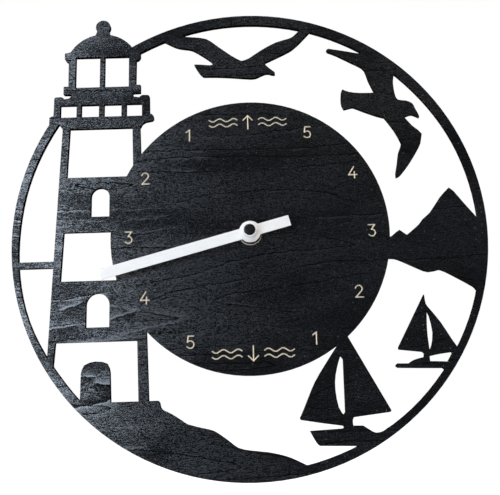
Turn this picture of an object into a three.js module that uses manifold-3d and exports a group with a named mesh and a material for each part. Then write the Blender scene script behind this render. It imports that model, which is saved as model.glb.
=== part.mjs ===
// Wall tide clock: a fretwork plate cut from plywood, one white hand and a quartz tide movement.
// Millimetres. The clock is drawn facing the reader, with x right, y up and z towards the reader,
// from the hand's axis on the wall. One turned group then stands it up, so that it faces -Y with +Z up.

import * as THREE from 'three';
import { mergeVertices } from 'three/addons/utils/BufferGeometryUtils.js';
import Module from 'manifold-3d';

// Fretwork plate
const PLATE_RADIUS = 150;
const RIM_WIDTH = 5.55;
const DISC_RADIUS = 88.1;
const PLATE_THICKNESS = 3;
const DRAWN_RADIUS = 150.3; // plate radius at which the figures below are drawn
const EDGE_ALLOWANCE = 0.28; // how far the cut edges lie outside the drawn lines
const ENGRAVED_DEPTH = 0.35;
const ENGRAVED_STROKE = 0.85;
const NUMERAL_HEIGHT = 8.2;
const NUMERAL_RING = 76.8;
const TIDE_MARK_RING = 74.5;
const TOWER_AXIS = -95.3; // x of the lighthouse's middle
// The rim is widest at the top: its width, as a share of RIM_WIDTH, in directions round the plate
const RIM_SHARES = [
  [0, 0.98], [20, 1.02], [45, 1.16], [90, 1.2], [112, 1.18], [150, 0.94], [172, 0.84],
  [198, 0.6], [218, 0.92], [250, 1], [288, 0.98], [315, 0.78], [340, 0.76], [360, 0.98],
];

// Hand and its collet
const HAND_ANGLE = 194.6; // degrees anticlockwise from the reader's right
const HAND_LENGTH = 95;
const HAND_TAIL = 25.7;
const HAND_WIDTH = 6.8;
const HAND_THICKNESS = 0.6;
const HAND_HUB_RADIUS = 6.8;
const HAND_HEIGHT = 7.2; // hand's face above the plate's face
const COLLET_RADIUS = 4.2;
const COLLET_HEIGHT = 13; // collet's face above the plate's face
const COLLET_SPIGOT = 0.5; // wall of the spigot that is riveted through the hand
const RIVET_FLANGE = 0.4;
const CAP_RADIUS = 3.5;
const CAP_THICKNESS = 1.4;
const CAP_RECESS = 0.2;
const CAP_STEM = 2;

// Clamping stack
const BUSH_RADIUS = 4;
const BUSH_PROTRUSION = 0.6;
const NUT_ACROSS_FLATS = 11;
const NUT_THICKNESS = 2.2;
const WASHER_RADIUS = 7.2;
const WASHER_THICKNESS = 0.6;
const GASKET_RADIUS = 15;
const GASKET_THICKNESS = 1;

// Cell and case
const CELL_DIAMETER = 14.5;
const CELL_LENGTH = 50.5;
const CELL_NUB_RADIUS = 2.75;
const CELL_NUB_LENGTH = 1.2;
const CELL_EDGE = 0.6;
const CELL_PLAY = 0.35;
const CONTACT_ROOM = 1.5;
const SPRING_ROOM = 2.5;
const CONTACT_THICKNESS = 0.4;
const CONTACT_TAB = 2;
const CASE_WALL = 1.2;
const FRONT_WALL = 1;
const REAR_WALL = 1.2;
const PARTITION = 1;
const TRAIN_ROOM = 0.5; // between the tide wheel's teeth and the partition
const CASE_TOP = 28;
const CASE_CORNER = 3;
const HANGER_WIDTH = 18;
const HANGER_HEIGHT = 9;
const HANGER_ROOT = 1; // below the eye
const HANGER_EYE_WIDTH = 10;
const HANGER_EYE_HEIGHT = 5.5;
const HANGER_CORNER = 2;
const HANGER_THICKNESS = 2.4;
const PILLAR_RADIUS = 1.2;
const PILLAR_LEFT = -15;
const PILLAR_TOP = 17.6;
const BRIDGE_ROOM = 1; // between the bridge plate and the walls
const BOSS_HEIGHT = 1.2;

// Wheels: teeth, and modules of the pairs
const TIDE_TEETH = 46;
const REVERSING_PINION_TEETH = 10;
const TIDE_MODULE = 0.43;
const REVERSING_TEETH = 27;
const CANNON_TEETH = 10;
const CENTRE_TEETH = 64;
const THIRD_PINION_TEETH = 8;
const CENTRE_MODULE = 0.28;
const THIRD_TEETH = 60;
const SECONDS_PINION_TEETH = 8;
const SECONDS_TEETH = 40;
const INTERMEDIATE_PINION_TEETH = 8;
const SECONDS_MODULE = 0.425;
const INTERMEDIATE_TEETH = 48;
const ROTOR_PINION_TEETH = 8;
const ROTOR_MODULE = 0.25;
const ADDENDUM = 0.7; // tooth height above the pitch circle, in modules
const DEDENDUM = 1.5;
const TOOTH_TIP = 0.5; // width of a tooth's tip, in modules
const WHEEL_THICKNESS = 0.8;
const MOTION_WHEEL_THICKNESS = 1;
const ARBOR_RADIUS = 0.5;
const SETTING_ARBOR_RADIUS = 0.9;
const TUBE_RADIUS = 2.7;
const TUBE_BORE = 1.15;
const CANNON_LENGTH = 1.7;
const CANNON_SLEEVE = 0.75; // wall of the cannon pinion's sleeve
// Room in front of each wheel of the going train
const CENTRE_ROOM = 0.8;
const THIRD_ROOM = 1.4;
const SECONDS_ROOM = 1.2;
const INTERMEDIATE_ROOM = 0.6;
const CLUTCH_RADIUS = 2.5;
const CENTRE_HUB_RADIUS = 2.3;
const BRIDGE_THICKNESS = 1;
const KNOB_RADIUS = 5.3;
const KNOB_THICKNESS = 2.7;
const KNOB_FLUTES = 20;
const KNOB_FLUTE_DEPTH = 0.35;
const WELL_FLOOR = 1;

// Directions of the arbors from the hand axis, in degrees; the rotor's is from the intermediate wheel
const REVERSING_DIRECTION = 0;
const THIRD_DIRECTION = 62;
const INTERMEDIATE_DIRECTION = 150;
const ROTOR_DIRECTION = 130;

// Motor
const MAGNET_RADIUS = 3;
const MAGNET_THICKNESS = 2.6;
const STATOR_THICKNESS = 1.2;
const STATOR_RIM = 1.1;
const STATOR_ARM = 3;
const COIL_SETBACK = 9; // coil axis left of the rotor
const COIL_RADIUS = 3.6;
const COIL_LENGTH = 13.8;
const BOBBIN_RADIUS = 2.2;
const BOBBIN_FLANGE = 0.8;
const CORE_WIDTH = 3;
const CORE_THICKNESS = 1;
const BOARD_THICKNESS = 0.8;
const BOARD_WIDTH = 14.3;
const BOARD_HEIGHT = 6.6;
const BOARD_POST_INSET = 2.4;
const CRYSTAL_RADIUS = 1;
const CRYSTAL_LENGTH = 6;
const CRYSTAL_INSET = 1;
const CHIP_RADIUS = 2.2;
const CHIP_HEIGHT = 1.1;

// Clearances
const RUN = 0.3; // between parts that move past each other
const FIT = 0.1; // round an arbor or spigot in its hole
const SEAT = 0.02; // between faces that rest on each other
const OVERCUT = 1; // how far a cutting solid runs past a face

// Places along z, worked out from the wall forwards
const CASE_DEPTH = FRONT_WALL + CELL_DIAMETER + 2 * CELL_PLAY;
const CASE_INNER = CASE_DEPTH - FRONT_WALL;
const CASE_SPLIT = CASE_DEPTH / 2;
const PLATE_REAR = CASE_DEPTH + GASKET_THICKNESS;
const PLATE_FRONT = PLATE_REAR + PLATE_THICKNESS;
const NUT_REAR = PLATE_FRONT + WASHER_THICKNESS;
const BUSH_END = NUT_REAR + NUT_THICKNESS + BUSH_PROTRUSION;
const HAND_FRONT = PLATE_FRONT + HAND_HEIGHT;
const HAND_REAR = HAND_FRONT - HAND_THICKNESS;
const COLLET_FRONT = PLATE_FRONT + COLLET_HEIGHT;
const CAP_REAR = COLLET_FRONT - CAP_RECESS - CAP_THICKNESS;
const TIDE_WHEEL_REAR = CASE_INNER - RUN - MOTION_WHEEL_THICKNESS;
const CANNON_FRONT = TIDE_WHEEL_REAR - RUN;
const CANNON_REAR = CANNON_FRONT - CANNON_LENGTH;
const REVERSING_REAR = CANNON_REAR + RUN;
const BRIDGE_FRONT = CANNON_REAR - RUN;
const BRIDGE_REAR = BRIDGE_FRONT - BRIDGE_THICKNESS;
const CENTRE_WHEEL_REAR = BRIDGE_REAR - CENTRE_ROOM - WHEEL_THICKNESS;
const THIRD_WHEEL_REAR = CENTRE_WHEEL_REAR - THIRD_ROOM - WHEEL_THICKNESS;
const SECONDS_WHEEL_REAR = THIRD_WHEEL_REAR - SECONDS_ROOM - WHEEL_THICKNESS;
const INTERMEDIATE_REAR = SECONDS_WHEEL_REAR - INTERMEDIATE_ROOM - WHEEL_THICKNESS;
const STATOR_REAR = SECONDS_WHEEL_REAR + WHEEL_THICKNESS;
const STATOR_FRONT = STATOR_REAR + STATOR_THICKNESS;
const MAGNET_REAR = (STATOR_REAR + STATOR_FRONT - MAGNET_THICKNESS) / 2;
const BOSS_FRONT = REAR_WALL + BOSS_HEIGHT;
const PIVOT_FLOOR = REAR_WALL + RUN;
const ARBOR_REAR = PIVOT_FLOOR + RUN;
const ARBOR_FRONT = BRIDGE_FRONT - RUN;
const KNOB_REAR = RUN;
const KNOB_FRONT = KNOB_REAR + KNOB_THICKNESS;
const WELL_FRONT = KNOB_FRONT + RUN + WELL_FLOOR;
const BOARD_REAR = CASE_SPLIT - RUN;
const BOARD_FRONT = BOARD_REAR + BOARD_THICKNESS;

// Places across the plate
const RIM_MIDDLE = DRAWN_RADIUS - 0.3 * RIM_WIDTH; // the line in the rim that the figures reach
const CASE_RIGHT = (CELL_LENGTH + CONTACT_ROOM + SPRING_ROOM) / 2 + CASE_WALL;
const CELL_LEFT = -CASE_RIGHT + CASE_WALL + SPRING_ROOM;
const CELL_RIGHT = CELL_LEFT + CELL_LENGTH;
const PARTITION_TOP = -TIDE_MODULE * (TIDE_TEETH / 2 + ADDENDUM) - TRAIN_ROOM;
const CELL_Y = PARTITION_TOP - PARTITION - CELL_PLAY - CELL_DIAMETER / 2;
const CELL_Z = CELL_PLAY + CELL_DIAMETER / 2;
const CASE_BOTTOM = CELL_Y - CELL_DIAMETER / 2 - CELL_PLAY - CASE_WALL;
const BRIDGE_MARGIN = 2 * PILLAR_RADIUS;
const PILLAR_RIGHT = CASE_RIGHT - CASE_WALL - BRIDGE_ROOM - BRIDGE_MARGIN;
const PILLAR_BOTTOM = PARTITION_TOP + BRIDGE_ROOM + PILLAR_RADIUS;
const MOTION_CENTRES = TIDE_MODULE * (TIDE_TEETH + REVERSING_PINION_TEETH) / 2;
const CANNON_MODULE = 2 * MOTION_CENTRES / (REVERSING_TEETH + CANNON_TEETH);
const THIRD_CENTRES = CENTRE_MODULE * (CENTRE_TEETH + THIRD_PINION_TEETH) / 2;
const THIRD_MODULE = 2 * THIRD_CENTRES / (THIRD_TEETH + SECONDS_PINION_TEETH);
const SECONDS_CENTRES = SECONDS_MODULE * (SECONDS_TEETH + INTERMEDIATE_PINION_TEETH) / 2;
const ROTOR_CENTRES = ROTOR_MODULE * (INTERMEDIATE_TEETH + ROTOR_PINION_TEETH) / 2;
const HAND_AXIS = new THREE.Vector2(0, 0);
const REVERSING_AXIS = polar(MOTION_CENTRES, REVERSING_DIRECTION);
const THIRD_AXIS = polar(THIRD_CENTRES, THIRD_DIRECTION);
const INTERMEDIATE_AXIS = polar(SECONDS_CENTRES, INTERMEDIATE_DIRECTION);
const ROTOR_AXIS = polar(ROTOR_CENTRES, ROTOR_DIRECTION).add(INTERMEDIATE_AXIS);
const COIL_AXIS = new THREE.Vector2(ROTOR_AXIS.x - COIL_SETBACK, ROTOR_AXIS.y);
const CORE_END = COIL_LENGTH / 2 + BOBBIN_FLANGE + RUN + STATOR_ARM / 2;
const CENTRE_ARBOR = TUBE_BORE - RUN;
const BOARD_LEFT = -CASE_RIGHT + CASE_WALL + 2 * RUN;
const BOARD_BOTTOM = PARTITION_TOP + 2 * RUN + CONTACT_THICKNESS;

// Finishes
const stainedPly = finish(0x22262a, 0.6, 0);
const whiteLacquer = finish(0xf2f2ef, 0.4, 0);
const blackPlastic = finish(0x17181a, 0.5, 0);
const casePlastic = finish(0x222325, 0.55, 0);
const brass = finish(0xb99a55, 0.35, 1);
const nickel = finish(0xb9b7b0, 0.3, 1);
const steel = finish(0x9a9ca0, 0.35, 1);
const iron = finish(0x6f7276, 0.45, 1);
const rubber = finish(0x1c1c1c, 0.85, 0);
const gearPlastic = finish(0xe6e2d6, 0.5, 0);
const knobPlastic = finish(0x2c2d30, 0.5, 0);
const cellSleeve = finish(0x2f6d62, 0.35, 0);
const copper = finish(0xa9582d, 0.35, 1);
const boardLaminate = finish(0x2f6b3f, 0.5, 0);
const epoxy = finish(0x101010, 0.4, 0);
const ferrite = finish(0x3a3a3d, 0.5, 0);

function finish(color, roughness, metalness) {
  return new THREE.MeshStandardMaterial({ color, roughness, metalness });
}

// Plane geometry

function polar(radius, degrees) {
  const angle = THREE.MathUtils.degToRad(degrees);
  return new THREE.Vector2(radius * Math.cos(angle), radius * Math.sin(angle));
}

function line(...points) {
  return points.map(([x, y]) => new THREE.Vector2(x, y));
}

function arc(x, y, radius, from, to, steps) {
  const centre = new THREE.Vector2(x, y);
  const turn = (to - from) / steps;
  return Array.from({ length: steps + 1 }, (_, i) => polar(radius, from + turn * i).add(centre));
}

function polygon(radius, sides, at = HAND_AXIS) {
  return arc(at.x, at.y, radius, 0, 360, sides).slice(0, sides);
}

// Sides that keep a circle round to the eye: 12 on a small arbor, over 120 on the plate's rim
function sidesFor(radius) {
  return 4 * Math.round(1.5 + 2.4 * Math.sqrt(radius));
}

function circle(radius, at = HAND_AXIS) {
  return polygon(radius, sidesFor(radius), at);
}

function rectangle(left, bottom, right, top) {
  return line([left, bottom], [right, bottom], [right, top], [left, top]);
}

function roundedRectangle(left, bottom, right, top, corner) {
  const steps = 6;
  return [
    ...arc(right - corner, top - corner, corner, 0, 90, steps),
    ...arc(left + corner, top - corner, corner, 90, 180, steps),
    ...arc(left + corner, bottom + corner, corner, 180, 270, steps),
    ...arc(right - corner, bottom + corner, corner, 270, 360, steps),
  ];
}

// A closed outline from stretches of points. A stretch of one point is a straight line from where the
// last stretch ended; a longer one is a smooth curve through its points.
function outline(start, ...stretches) {
  const points = [new THREE.Vector2(...start)];
  for (const stretch of stretches) {
    const knots = [points.at(-1), ...line(...stretch)];
    const spans = knots.length === 2 ? 1 : 2 * (knots.length - 1);
    points.push(...new THREE.SplineCurve(knots).getPoints(spans).slice(1));
  }
  return points;
}

// An outline whose edges are moved outwards, or inwards by a negative distance. Sharp tips are kept short.
function grown(points, distance) {
  const sharpest = 1;
  const loop = THREE.ShapeUtils.isClockWise(points) ? [...points].reverse() : points;
  const normals = loop.map((point, i) => {
    const edge = loop[(i + 1) % loop.length].clone().sub(point).normalize();
    return new THREE.Vector2(edge.y, -edge.x);
  });
  return loop.map((point, i) => {
    const between = normals.at(i - 1).clone().add(normals[i]);
    return point.clone().addScaledVector(between, 2 * distance / Math.max(between.lengthSq(), sharpest));
  });
}

// A stroke of even width along a path, longer by half its width at both ends
function stroke(path, width) {
  const half = width / 2;
  const left = [];
  const right = [];
  path.forEach((point, i) => {
    const before = point.clone().sub(path[Math.max(i - 1, 0)]).normalize();
    const after = path[Math.min(i + 1, path.length - 1)].clone().sub(point).normalize();
    const along = before.clone().add(after).normalize();
    const side = new THREE.Vector2(-along.y, along.x).multiplyScalar(half);
    const past = (i === path.length - 1 ? half : 0) - (i === 0 ? half : 0);
    const middle = point.clone().addScaledVector(along, past);
    left.push(middle.clone().add(side));
    right.unshift(middle.clone().sub(side));
  });
  return [...right, ...left];
}

function gear(teeth, gearModule) {
  const pitch = teeth * gearModule / 2;
  const tip = pitch + ADDENDUM * gearModule;
  const root = pitch - DEDENDUM * gearModule;
  const step = 360 / teeth;
  const halfTip = THREE.MathUtils.radToDeg(TOOTH_TIP * gearModule / 2 / tip);
  const points = [];
  for (let tooth = 0; tooth < teeth; tooth += 1) {
    const angle = tooth * step;
    points.push(polar(tip, angle - halfTip), polar(tip, angle + halfTip), polar(root, angle + step / 2));
  }
  return points;
}

function turned(points, degrees) {
  const angle = THREE.MathUtils.degToRad(degrees);
  return points.map((point) => point.clone().rotateAround(HAND_AXIS, angle));
}

// Solids

const wasm = await Module();
wasm.setup();

const MERGE_DISTANCE = 1e-4;

function toSolid(geometry) {
  geometry.deleteAttribute('normal');
  geometry.deleteAttribute('uv');
  const merged = mergeVertices(geometry, MERGE_DISTANCE);
  const corners = merged.index.array;
  const triangles = [];
  for (let i = 0; i < corners.length; i += 3) {
    const [a, b, c] = corners.slice(i, i + 3);
    if (a !== b && b !== c && c !== a) triangles.push(a, b, c);
  }
  const vertProperties = merged.attributes.position.array;
  const triVerts = new Uint32Array(triangles);
  return new wasm.Manifold(new wasm.Mesh({ numProp: 3, vertProperties, triVerts }));
}

function toGeometry(solid) {
  const mesh = solid.getMesh();
  const geometry = new THREE.BufferGeometry();
  geometry.setAttribute('position', new THREE.BufferAttribute(mesh.vertProperties, 3));
  geometry.setIndex(new THREE.BufferAttribute(mesh.triVerts, 1));
  geometry.computeVertexNormals();
  return geometry;
}

function prism(points, rear, front, holes = []) {
  const anticlockwise = THREE.ShapeUtils.isClockWise(points) ? [...points].reverse() : points;
  const shape = new THREE.Shape(anticlockwise);
  shape.holes = holes.map((hole) => new THREE.Path(hole));
  const geometry = new THREE.ExtrudeGeometry(shape, { depth: front - rear, bevelEnabled: false });
  return toSolid(geometry.translate(0, 0, rear));
}

function block(left, bottom, rear, right, top, front) {
  return prism(rectangle(left, bottom, right, top), rear, front);
}

function cylinder(radius, rear, front, at = HAND_AXIS) {
  return prism(circle(radius, at), rear, front);
}

// A turned piece: a profile of [radius, z] pairs, spun about the z axis
function lathe(profile) {
  const widest = Math.max(...profile.map(([radius]) => radius));
  return toSolid(new THREE.LatheGeometry(line(...profile), sidesFor(widest)).rotateX(Math.PI / 2));
}

function join(first, ...rest) {
  return rest.reduce((whole, solid) => whole.add(solid), first);
}

function cut(from, ...tools) {
  return tools.reduce((rest, tool) => rest.subtract(tool), from);
}

function piece(name, solid, material, at = HAND_AXIS) {
  const mesh = new THREE.Mesh(toGeometry(solid), material);
  mesh.name = name;
  mesh.position.set(at.x, at.y, 0);
  return mesh;
}

// Figures of the fretwork, drawn at DRAWN_RADIUS. They reach into the rim or the disc that holds them.

function figure(points, holes = [], allowance = EDGE_ALLOWANCE) {
  const scale = PLATE_RADIUS / DRAWN_RADIUS;
  const sized = (path, distance) => grown(path, distance).map((point) => point.multiplyScalar(scale));
  const gaps = holes.map((hole) => sized(hole, -allowance));
  return prism(sized(points, allowance), PLATE_REAR, PLATE_FRONT, gaps);
}

function opening(points) {
  return figure(points, [], -EDGE_ALLOWANCE);
}

function rimWidth(direction) {
  const next = RIM_SHARES.findIndex(([angle]) => angle > direction);
  const [from, first] = RIM_SHARES[next - 1];
  const [to, second] = RIM_SHARES[next];
  return RIM_WIDTH * THREE.MathUtils.lerp(first, second, THREE.MathUtils.smoothstep(direction, from, to));
}

function rimInside() {
  const sides = sidesFor(PLATE_RADIUS);
  const directions = Array.from({ length: sides }, (_, i) => 360 * i / sides);
  return directions.map((direction) => polar(PLATE_RADIUS - rimWidth(direction), direction));
}

function rimArc(from, to, steps) {
  return arc(0, 0, RIM_MIDDLE, from, to, steps);
}

// Points given to the right of the tower's axis, and the same to its left
function aboutTower(right) {
  const left = right.map(([x, y]) => [-x, y]).reverse();
  return line(...right, ...left).map((point) => point.setX(TOWER_AXIS + point.x));
}

function towerBody() {
  const body = figure(aboutTower([[24.7, 76], [31.3, -103]]));
  const withinRim = figure(circle(RIM_MIDDLE));
  const windows = [
    opening(outline([-116.1, 73.8], [[-117.3, 40]], [[-74, 40]], [[-74.8, 73.8]])),
    archedWindow(-95.2, 6.2, 13.9, 33.2),
    opening(outline([-118.2, 4.5], [[-119.6, -27.1]], [[-84.1, -27.1]], [[-80, 4.5]])),
    archedWindow(-95.6, 7.6, -56.1, -34.6),
    opening(outline([-121.5, -64.5], [[-122.5, -79]], [[-126, -101.4]], [[-69.7, -101.4]],
      [[-70.7, -64.5]])),
  ];
  return cut(body.intersect(withinRim), ...windows);
}

function archedWindow(x, half, bottom, top) {
  const sill = line([x - half, bottom], [x + half, bottom]);
  return opening([...sill, ...arc(x, top - half, half, 0, 180, sidesFor(half))]);
}

function towerDoor() {
  return figure(outline([-105, -103], [[-104.8, -84]], [[-103, -78.9], [-96.5, -76.8], [-89.7, -78.2],
    [-87.7, -83.5]],
    [[-87, -103]]));
}

function gallery() {
  return figure(aboutTower([
    [20, 97.6], [20, 95.4], [21, 94.4], [24.6, 93.8], [25.8, 95], [27, 95.4], [30.4, 95.2],
    [30.9, 94.5], [31.1, 82.2],
    [32.6, 82], [33.6, 80.8], [33.8, 79], [33, 78], [28.5, 77.2], [26.4, 75.8], [25.2, 73.5],
  ]));
}

function lantern() {
  const room = figure(aboutTower([
    [21.2, 127], [24.8, 126.2], [24.8, 122.4], [23.8, 121], [22.1, 120.2], [21.9, 102.6], [25, 102.6],
    [25, 97.6],
    [20, 97.4],
  ]));
  const dome = figure(arc(TOWER_AXIS, 114.9, 24.3, 29, 151, 30));
  const neck = figure(aboutTower([[3.6, 142], [4.4, 139.6], [6, 137]]));
  const ball = figure(circle(4.6, new THREE.Vector2(TOWER_AXIS, 144.8)));
  return join(room, dome, neck, ball);
}

function lighthouse() {
  const strut = figure(rectangle(-RIM_MIDDLE, -17.9, -121, -14.2));
  const leftBlock = figure(rectangle(-129, 76.8, -110, 81.5));
  return join(towerBody(), towerDoor(), gallery(), lantern(), strut, leftBlock);
}

// Openings of the lantern and its gallery, which also cut through the rim behind them
function lanternOpenings() {
  const panes = [[-113.3, -96.6], [-94.1, -77.5]];
  const galleryGaps = [[-122.7, -111.4], [-109, -96.8], [-94.1, -82.1], [-79.5, -68.7]];
  return [
    ...panes.map(([left, right]) => opening(rectangle(left, 101.6, right, 123.6))),
    ...galleryGaps.map(([left, right]) => opening(rectangle(left, 81, right, 90))),
  ];
}

function headland() {
  const hill = outline([-109, -101.4], [[-58.5, -101.4]], [[-57.4, -102.6], [-56.9, -105.2],
    [-55.5, -107]],
    [[-50.5, -109.5], [-44.5, -113.3], [-40.5, -115.9], [-31, -118.5], [-26, -119.8], [-22, -122],
    [-16, -126.4],
      [-10.5, -130.5], [-3, -132.3], [8, -133.7], [18, -136.2], [24, -138.7], [29, -141.2],
      [34, -143.5]]);
  return figure([...hill, ...rimArc(-77, -136, 20)]);
}

function soaringGull() {
  const top = outline([-45, 139.8], [[-43, 137.2]],
    [[-40, 135.9], [-35, 135.4], [-26.5, 134], [-20, 129.3], [-10, 121.5], [-4.2, 118], [-2.5, 117.6],
    [2, 119.2],
      [10, 124.6], [20, 130], [29, 132.6], [32.5, 134.6], [36, 138.2]], [[37.5, 140.5]],
      [[44.5, 138.5]]);
  const under = outline([44.5, 138.5], [[42.7, 137.4]],
    [[36.2, 130.5], [32.6, 127.2], [29.1, 124.5], [20.1, 120], [11.7, 116.1]],
    [[13, 113.8], [16.5, 110.6], [18.4, 109], [18.6, 107.9]], [[17, 107.9], [15, 108.6], [12, 108.5],
    [7, 106.3]],
    [[3, 105.6], [-10, 106.9], [-20, 107.6], [-28.3, 107.8]], [[-29.8, 109], [-31.8, 111.7],
    [-34.1, 115.8]],
    [[-30, 115.6], [-24, 115], [-21.5, 115.8]],
    [[-22.8, 118], [-26.3, 120.9], [-31.3, 124.4], [-35.3, 126.8], [-38.4, 127.7], [-42.9, 128.4],
    [-46.4, 129.4],
      [-50.5, 131.4], [-55, 134]], [[-57, 135.5]]);
  return figure([...top.slice(0, -1), ...under]);
}

function divingGull() {
  const upperWing = outline([79.5, 123.5], [[77.2, 121.1]], [[74.5, 120.6], [68, 122], [60, 123.6],
    [55, 124.5]],
    [[53.9, 123.7], [54.8, 122.8]], [[60.3, 120.4], [70.4, 114.7], [75, 112.2], [78.5, 109],
    [80.5, 102.4],
      [82, 98.5], [84.6, 92.4]]);
  const tail = outline([84.6, 92.4], [[75, 92.4], [67, 93.5], [63.2, 95.2]],
    [[62.3, 93.5], [61.9, 88], [62.3, 84.6], [63.5, 82]],
    [[67.4, 82.9], [69.9, 83.1], [75.4, 80.7], [84.5, 77], [89.7, 75.5]]);
  const lowerWing = outline([89.7, 75.5], [[95.6, 66.6], [99.2, 59], [99.6, 56], [97.6, 51.2],
    [96.3, 44], [94.8, 37]],
    [[94.9, 34.6]], [[97.5, 36], [104, 44], [110.5, 54.3], [112, 58.5], [112.9, 63.2]],
    [[110.5, 66], [107, 69], [102, 75.4]]);
  const head = outline([102, 75.4], [[106.2, 76.9], [108.7, 76.8], [112.2, 75]],
    [[111.5, 77.3], [109.8, 80.8], [108.3, 84.3], [104.5, 86.2], [99.3, 87], [97.4, 90], [96.6, 96],
    [96.5, 100],
      [97.4, 105.2]], [[99.5, 107.5]]);
  return figure([...upperWing, ...tail.slice(1), ...lowerWing.slice(1), ...head.slice(1)]);
}

function islet() {
  const top = outline([75, -18], [[75, -5]], [[87.7, -5]],
    [[89.5, -4.3], [92, -2.2], [94.4, -0.6]], [[97, -2.6], [98.9, -4]],
    [[101, -2.4], [107.5, 3], [110, 6.2], [115.5, 11], [122.5, 20.7], [127.8, 26.1]],
    [[130.5, 23.9], [136, 16.5], [143.8, 6.4]], [[146, 5.5]], [[142.5, -39.5]], [[140, -39.6]]);
  const bottom = outline([140, -39.6], [[138.5, -37.6], [130, -32.4], [122, -27.8], [118, -26.2]],
    [[111, -27.4], [105, -25.2], [95, -20.3], [90, -18.4], [85.8, -18.3]]);
  return figure([...top, ...bottom.slice(1)]);
}

function largeBoat() {
  const hull = outline([48, -58], [[57.9, -66.3]], [[82, -111.2]], [[81.5, -111.9]], [[59.2, -114.3]],
    [[58.4, -116.5], [58.6, -119.8]], [[65, -120]], [[68.5, -122.3], [72.5, -124.4], [77, -123.6],
    [80, -121.6]],
    [[82, -122.6]], [[61.5, -134]], [[60.2, -131]], [[38.5, -130.2]], [[36.6, -128.5],
    [33.1, -122.1]], [[52.6, -121.3]],
    [[53.6, -120.4], [52.5, -119]], [[40, -117.1], [27.6, -114.9]], [[27.2, -114.2]],
    [[30, -108.7], [35, -97.5], [40, -88.6], [52.5, -70.6]]);
  const sailSlot = outline([53.5, -78], [[52.3, -79], [49.4, -89], [48.8, -98], [50.4, -108.5],
    [53.5, -113.4]],
    [[54.7, -111.5]], [[54.9, -80]]);
  return figure(hull, [sailSlot]);
}

function smallBoat() {
  const hull = outline([106.9, -42], [[107.3, -47.6], [110.2, -51.8], [116, -59.8], [121.5, -69.4],
    [124.8, -74.6]],
    [[126.8, -75.4]], [[117.6, -89]], [[115.4, -87]], [[100, -86.5], [88, -86]], [[86.9, -85],
    [88, -83.8]],
    [[95, -84]], [[98.5, -81.9], [104.6, -80.4]], [[104.9, -78], [103.5, -76.8]], [[89.4, -75]],
    [[89.3, -74]]);
  const sailSlot = outline([107.7, -51.4], [[107.1, -60], [107.1, -68], [107.8, -76.9]],
    [[109.8, -73.8], [111.3, -65.5], [109.7, -55.2], [107.7, -51.4]]);
  const cockpit = outline([107.4, -79.6], [[114, -78.4], [121.3, -77.6]], [[122.1, -78.6],
    [119, -83.6]], [[107.5, -83]]);
  return figure(hull, [sailSlot.slice(1), cockpit]);
}

// Engraved dial

const DIGIT_STROKES = {
  1: [line([0.12, 0.8], [0.4, 1]), line([0.4, 1], [0.4, 0])],
  2: [[...arc(0.33, 0.71, 0.29, 165, -28, 7), ...line([0.06, 0])], line([0.06, 0], [0.68, 0])],
  3: [line([0.06, 1], [0.6, 1]), line([0.6, 1], [0.3, 0.6]), arc(0.33, 0.3, 0.3, 95, -145, 8)],
  4: [line([0.44, 1], [0, 0.3]), line([0, 0.3], [0.72, 0.3]), line([0.5, 0.55], [0.5, 0])],
  5: [line([0.6, 1], [0.16, 1]), line([0.16, 1], [0.1, 0.55]), arc(0.33, 0.3, 0.31, 138, -145, 9)],
};
const DIGIT_CENTRE = new THREE.Vector2(0.34, 0.5);

function engraved(strokes) {
  const floor = PLATE_FRONT - ENGRAVED_DEPTH;
  const solids = strokes.map((path) => prism(stroke(path, ENGRAVED_STROKE), floor, PLATE_FRONT + OVERCUT));
  return join(...solids);
}

function numeral(digit, at) {
  const size = NUMERAL_HEIGHT - ENGRAVED_STROKE;
  const place = (point) => point.clone().sub(DIGIT_CENTRE).multiplyScalar(size).add(at);
  return engraved(DIGIT_STROKES[digit].map((path) => path.map(place)));
}

// A high or low water mark: an arrow between two pairs of waves
function tideMark(rise) {
  const waveLength = 9;
  const waveHeight = 1.1;
  const waveStart = 7;
  const waveLevel = 1.8;
  const waveSteps = 6;
  const arrowHalf = 4.5;
  const arrowHead = 3;
  const phases = Array.from({ length: 2 * waveSteps + 1 }, (_, i) => i / waveSteps);
  const wave = (side, level) => line(...phases.map((phase) => [
    side * (waveStart + waveLength * phase),
    level + waveHeight * Math.sin(2 * Math.PI * phase),
  ]));
  const tip = rise * arrowHalf;
  const barb = tip - rise * arrowHead;
  const strokes = [
    wave(-1, -waveLevel), wave(-1, waveLevel), wave(1, -waveLevel), wave(1, waveLevel),
    line([0, -tip], [0, tip]), line([-arrowHead, barb], [0, tip]), line([arrowHead, barb], [0, tip]),
  ];
  const centre = new THREE.Vector2(0, rise * TIDE_MARK_RING);
  return engraved(strokes.map((path) => path.map((point) => point.add(centre))));
}

function dialEngraving() {
  const hours = [1, 2, 3, 4, 5].flatMap((digit) => [
    numeral(digit, polar(NUMERAL_RING, 90 + 30 * digit)),
    numeral(digit, polar(NUMERAL_RING, 270 + 30 * digit)),
  ]);
  return [...hours, tideMark(1), tideMark(-1)];
}

function fretworkPlate() {
  const rim = prism(circle(PLATE_RADIUS), PLATE_REAR, PLATE_FRONT, [rimInside()]);
  const disc = cylinder(DISC_RADIUS, PLATE_REAR, PLATE_FRONT);
  const rimmed = cut(join(rim, lighthouse()), ...lanternOpenings());
  const scene = [headland(), soaringGull(), divingGull(), islet(), largeBoat(), smallBoat()];
  const whole = join(rimmed, disc, ...scene);
  const bushHole = cylinder(BUSH_RADIUS + RUN, PLATE_REAR - OVERCUT, PLATE_FRONT + OVERCUT);
  return piece('fretwork_plate', cut(whole, bushHole, ...dialEngraving()), stainedPly);
}

// Hand, collet and cap, drawn with the hand along +x

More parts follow.
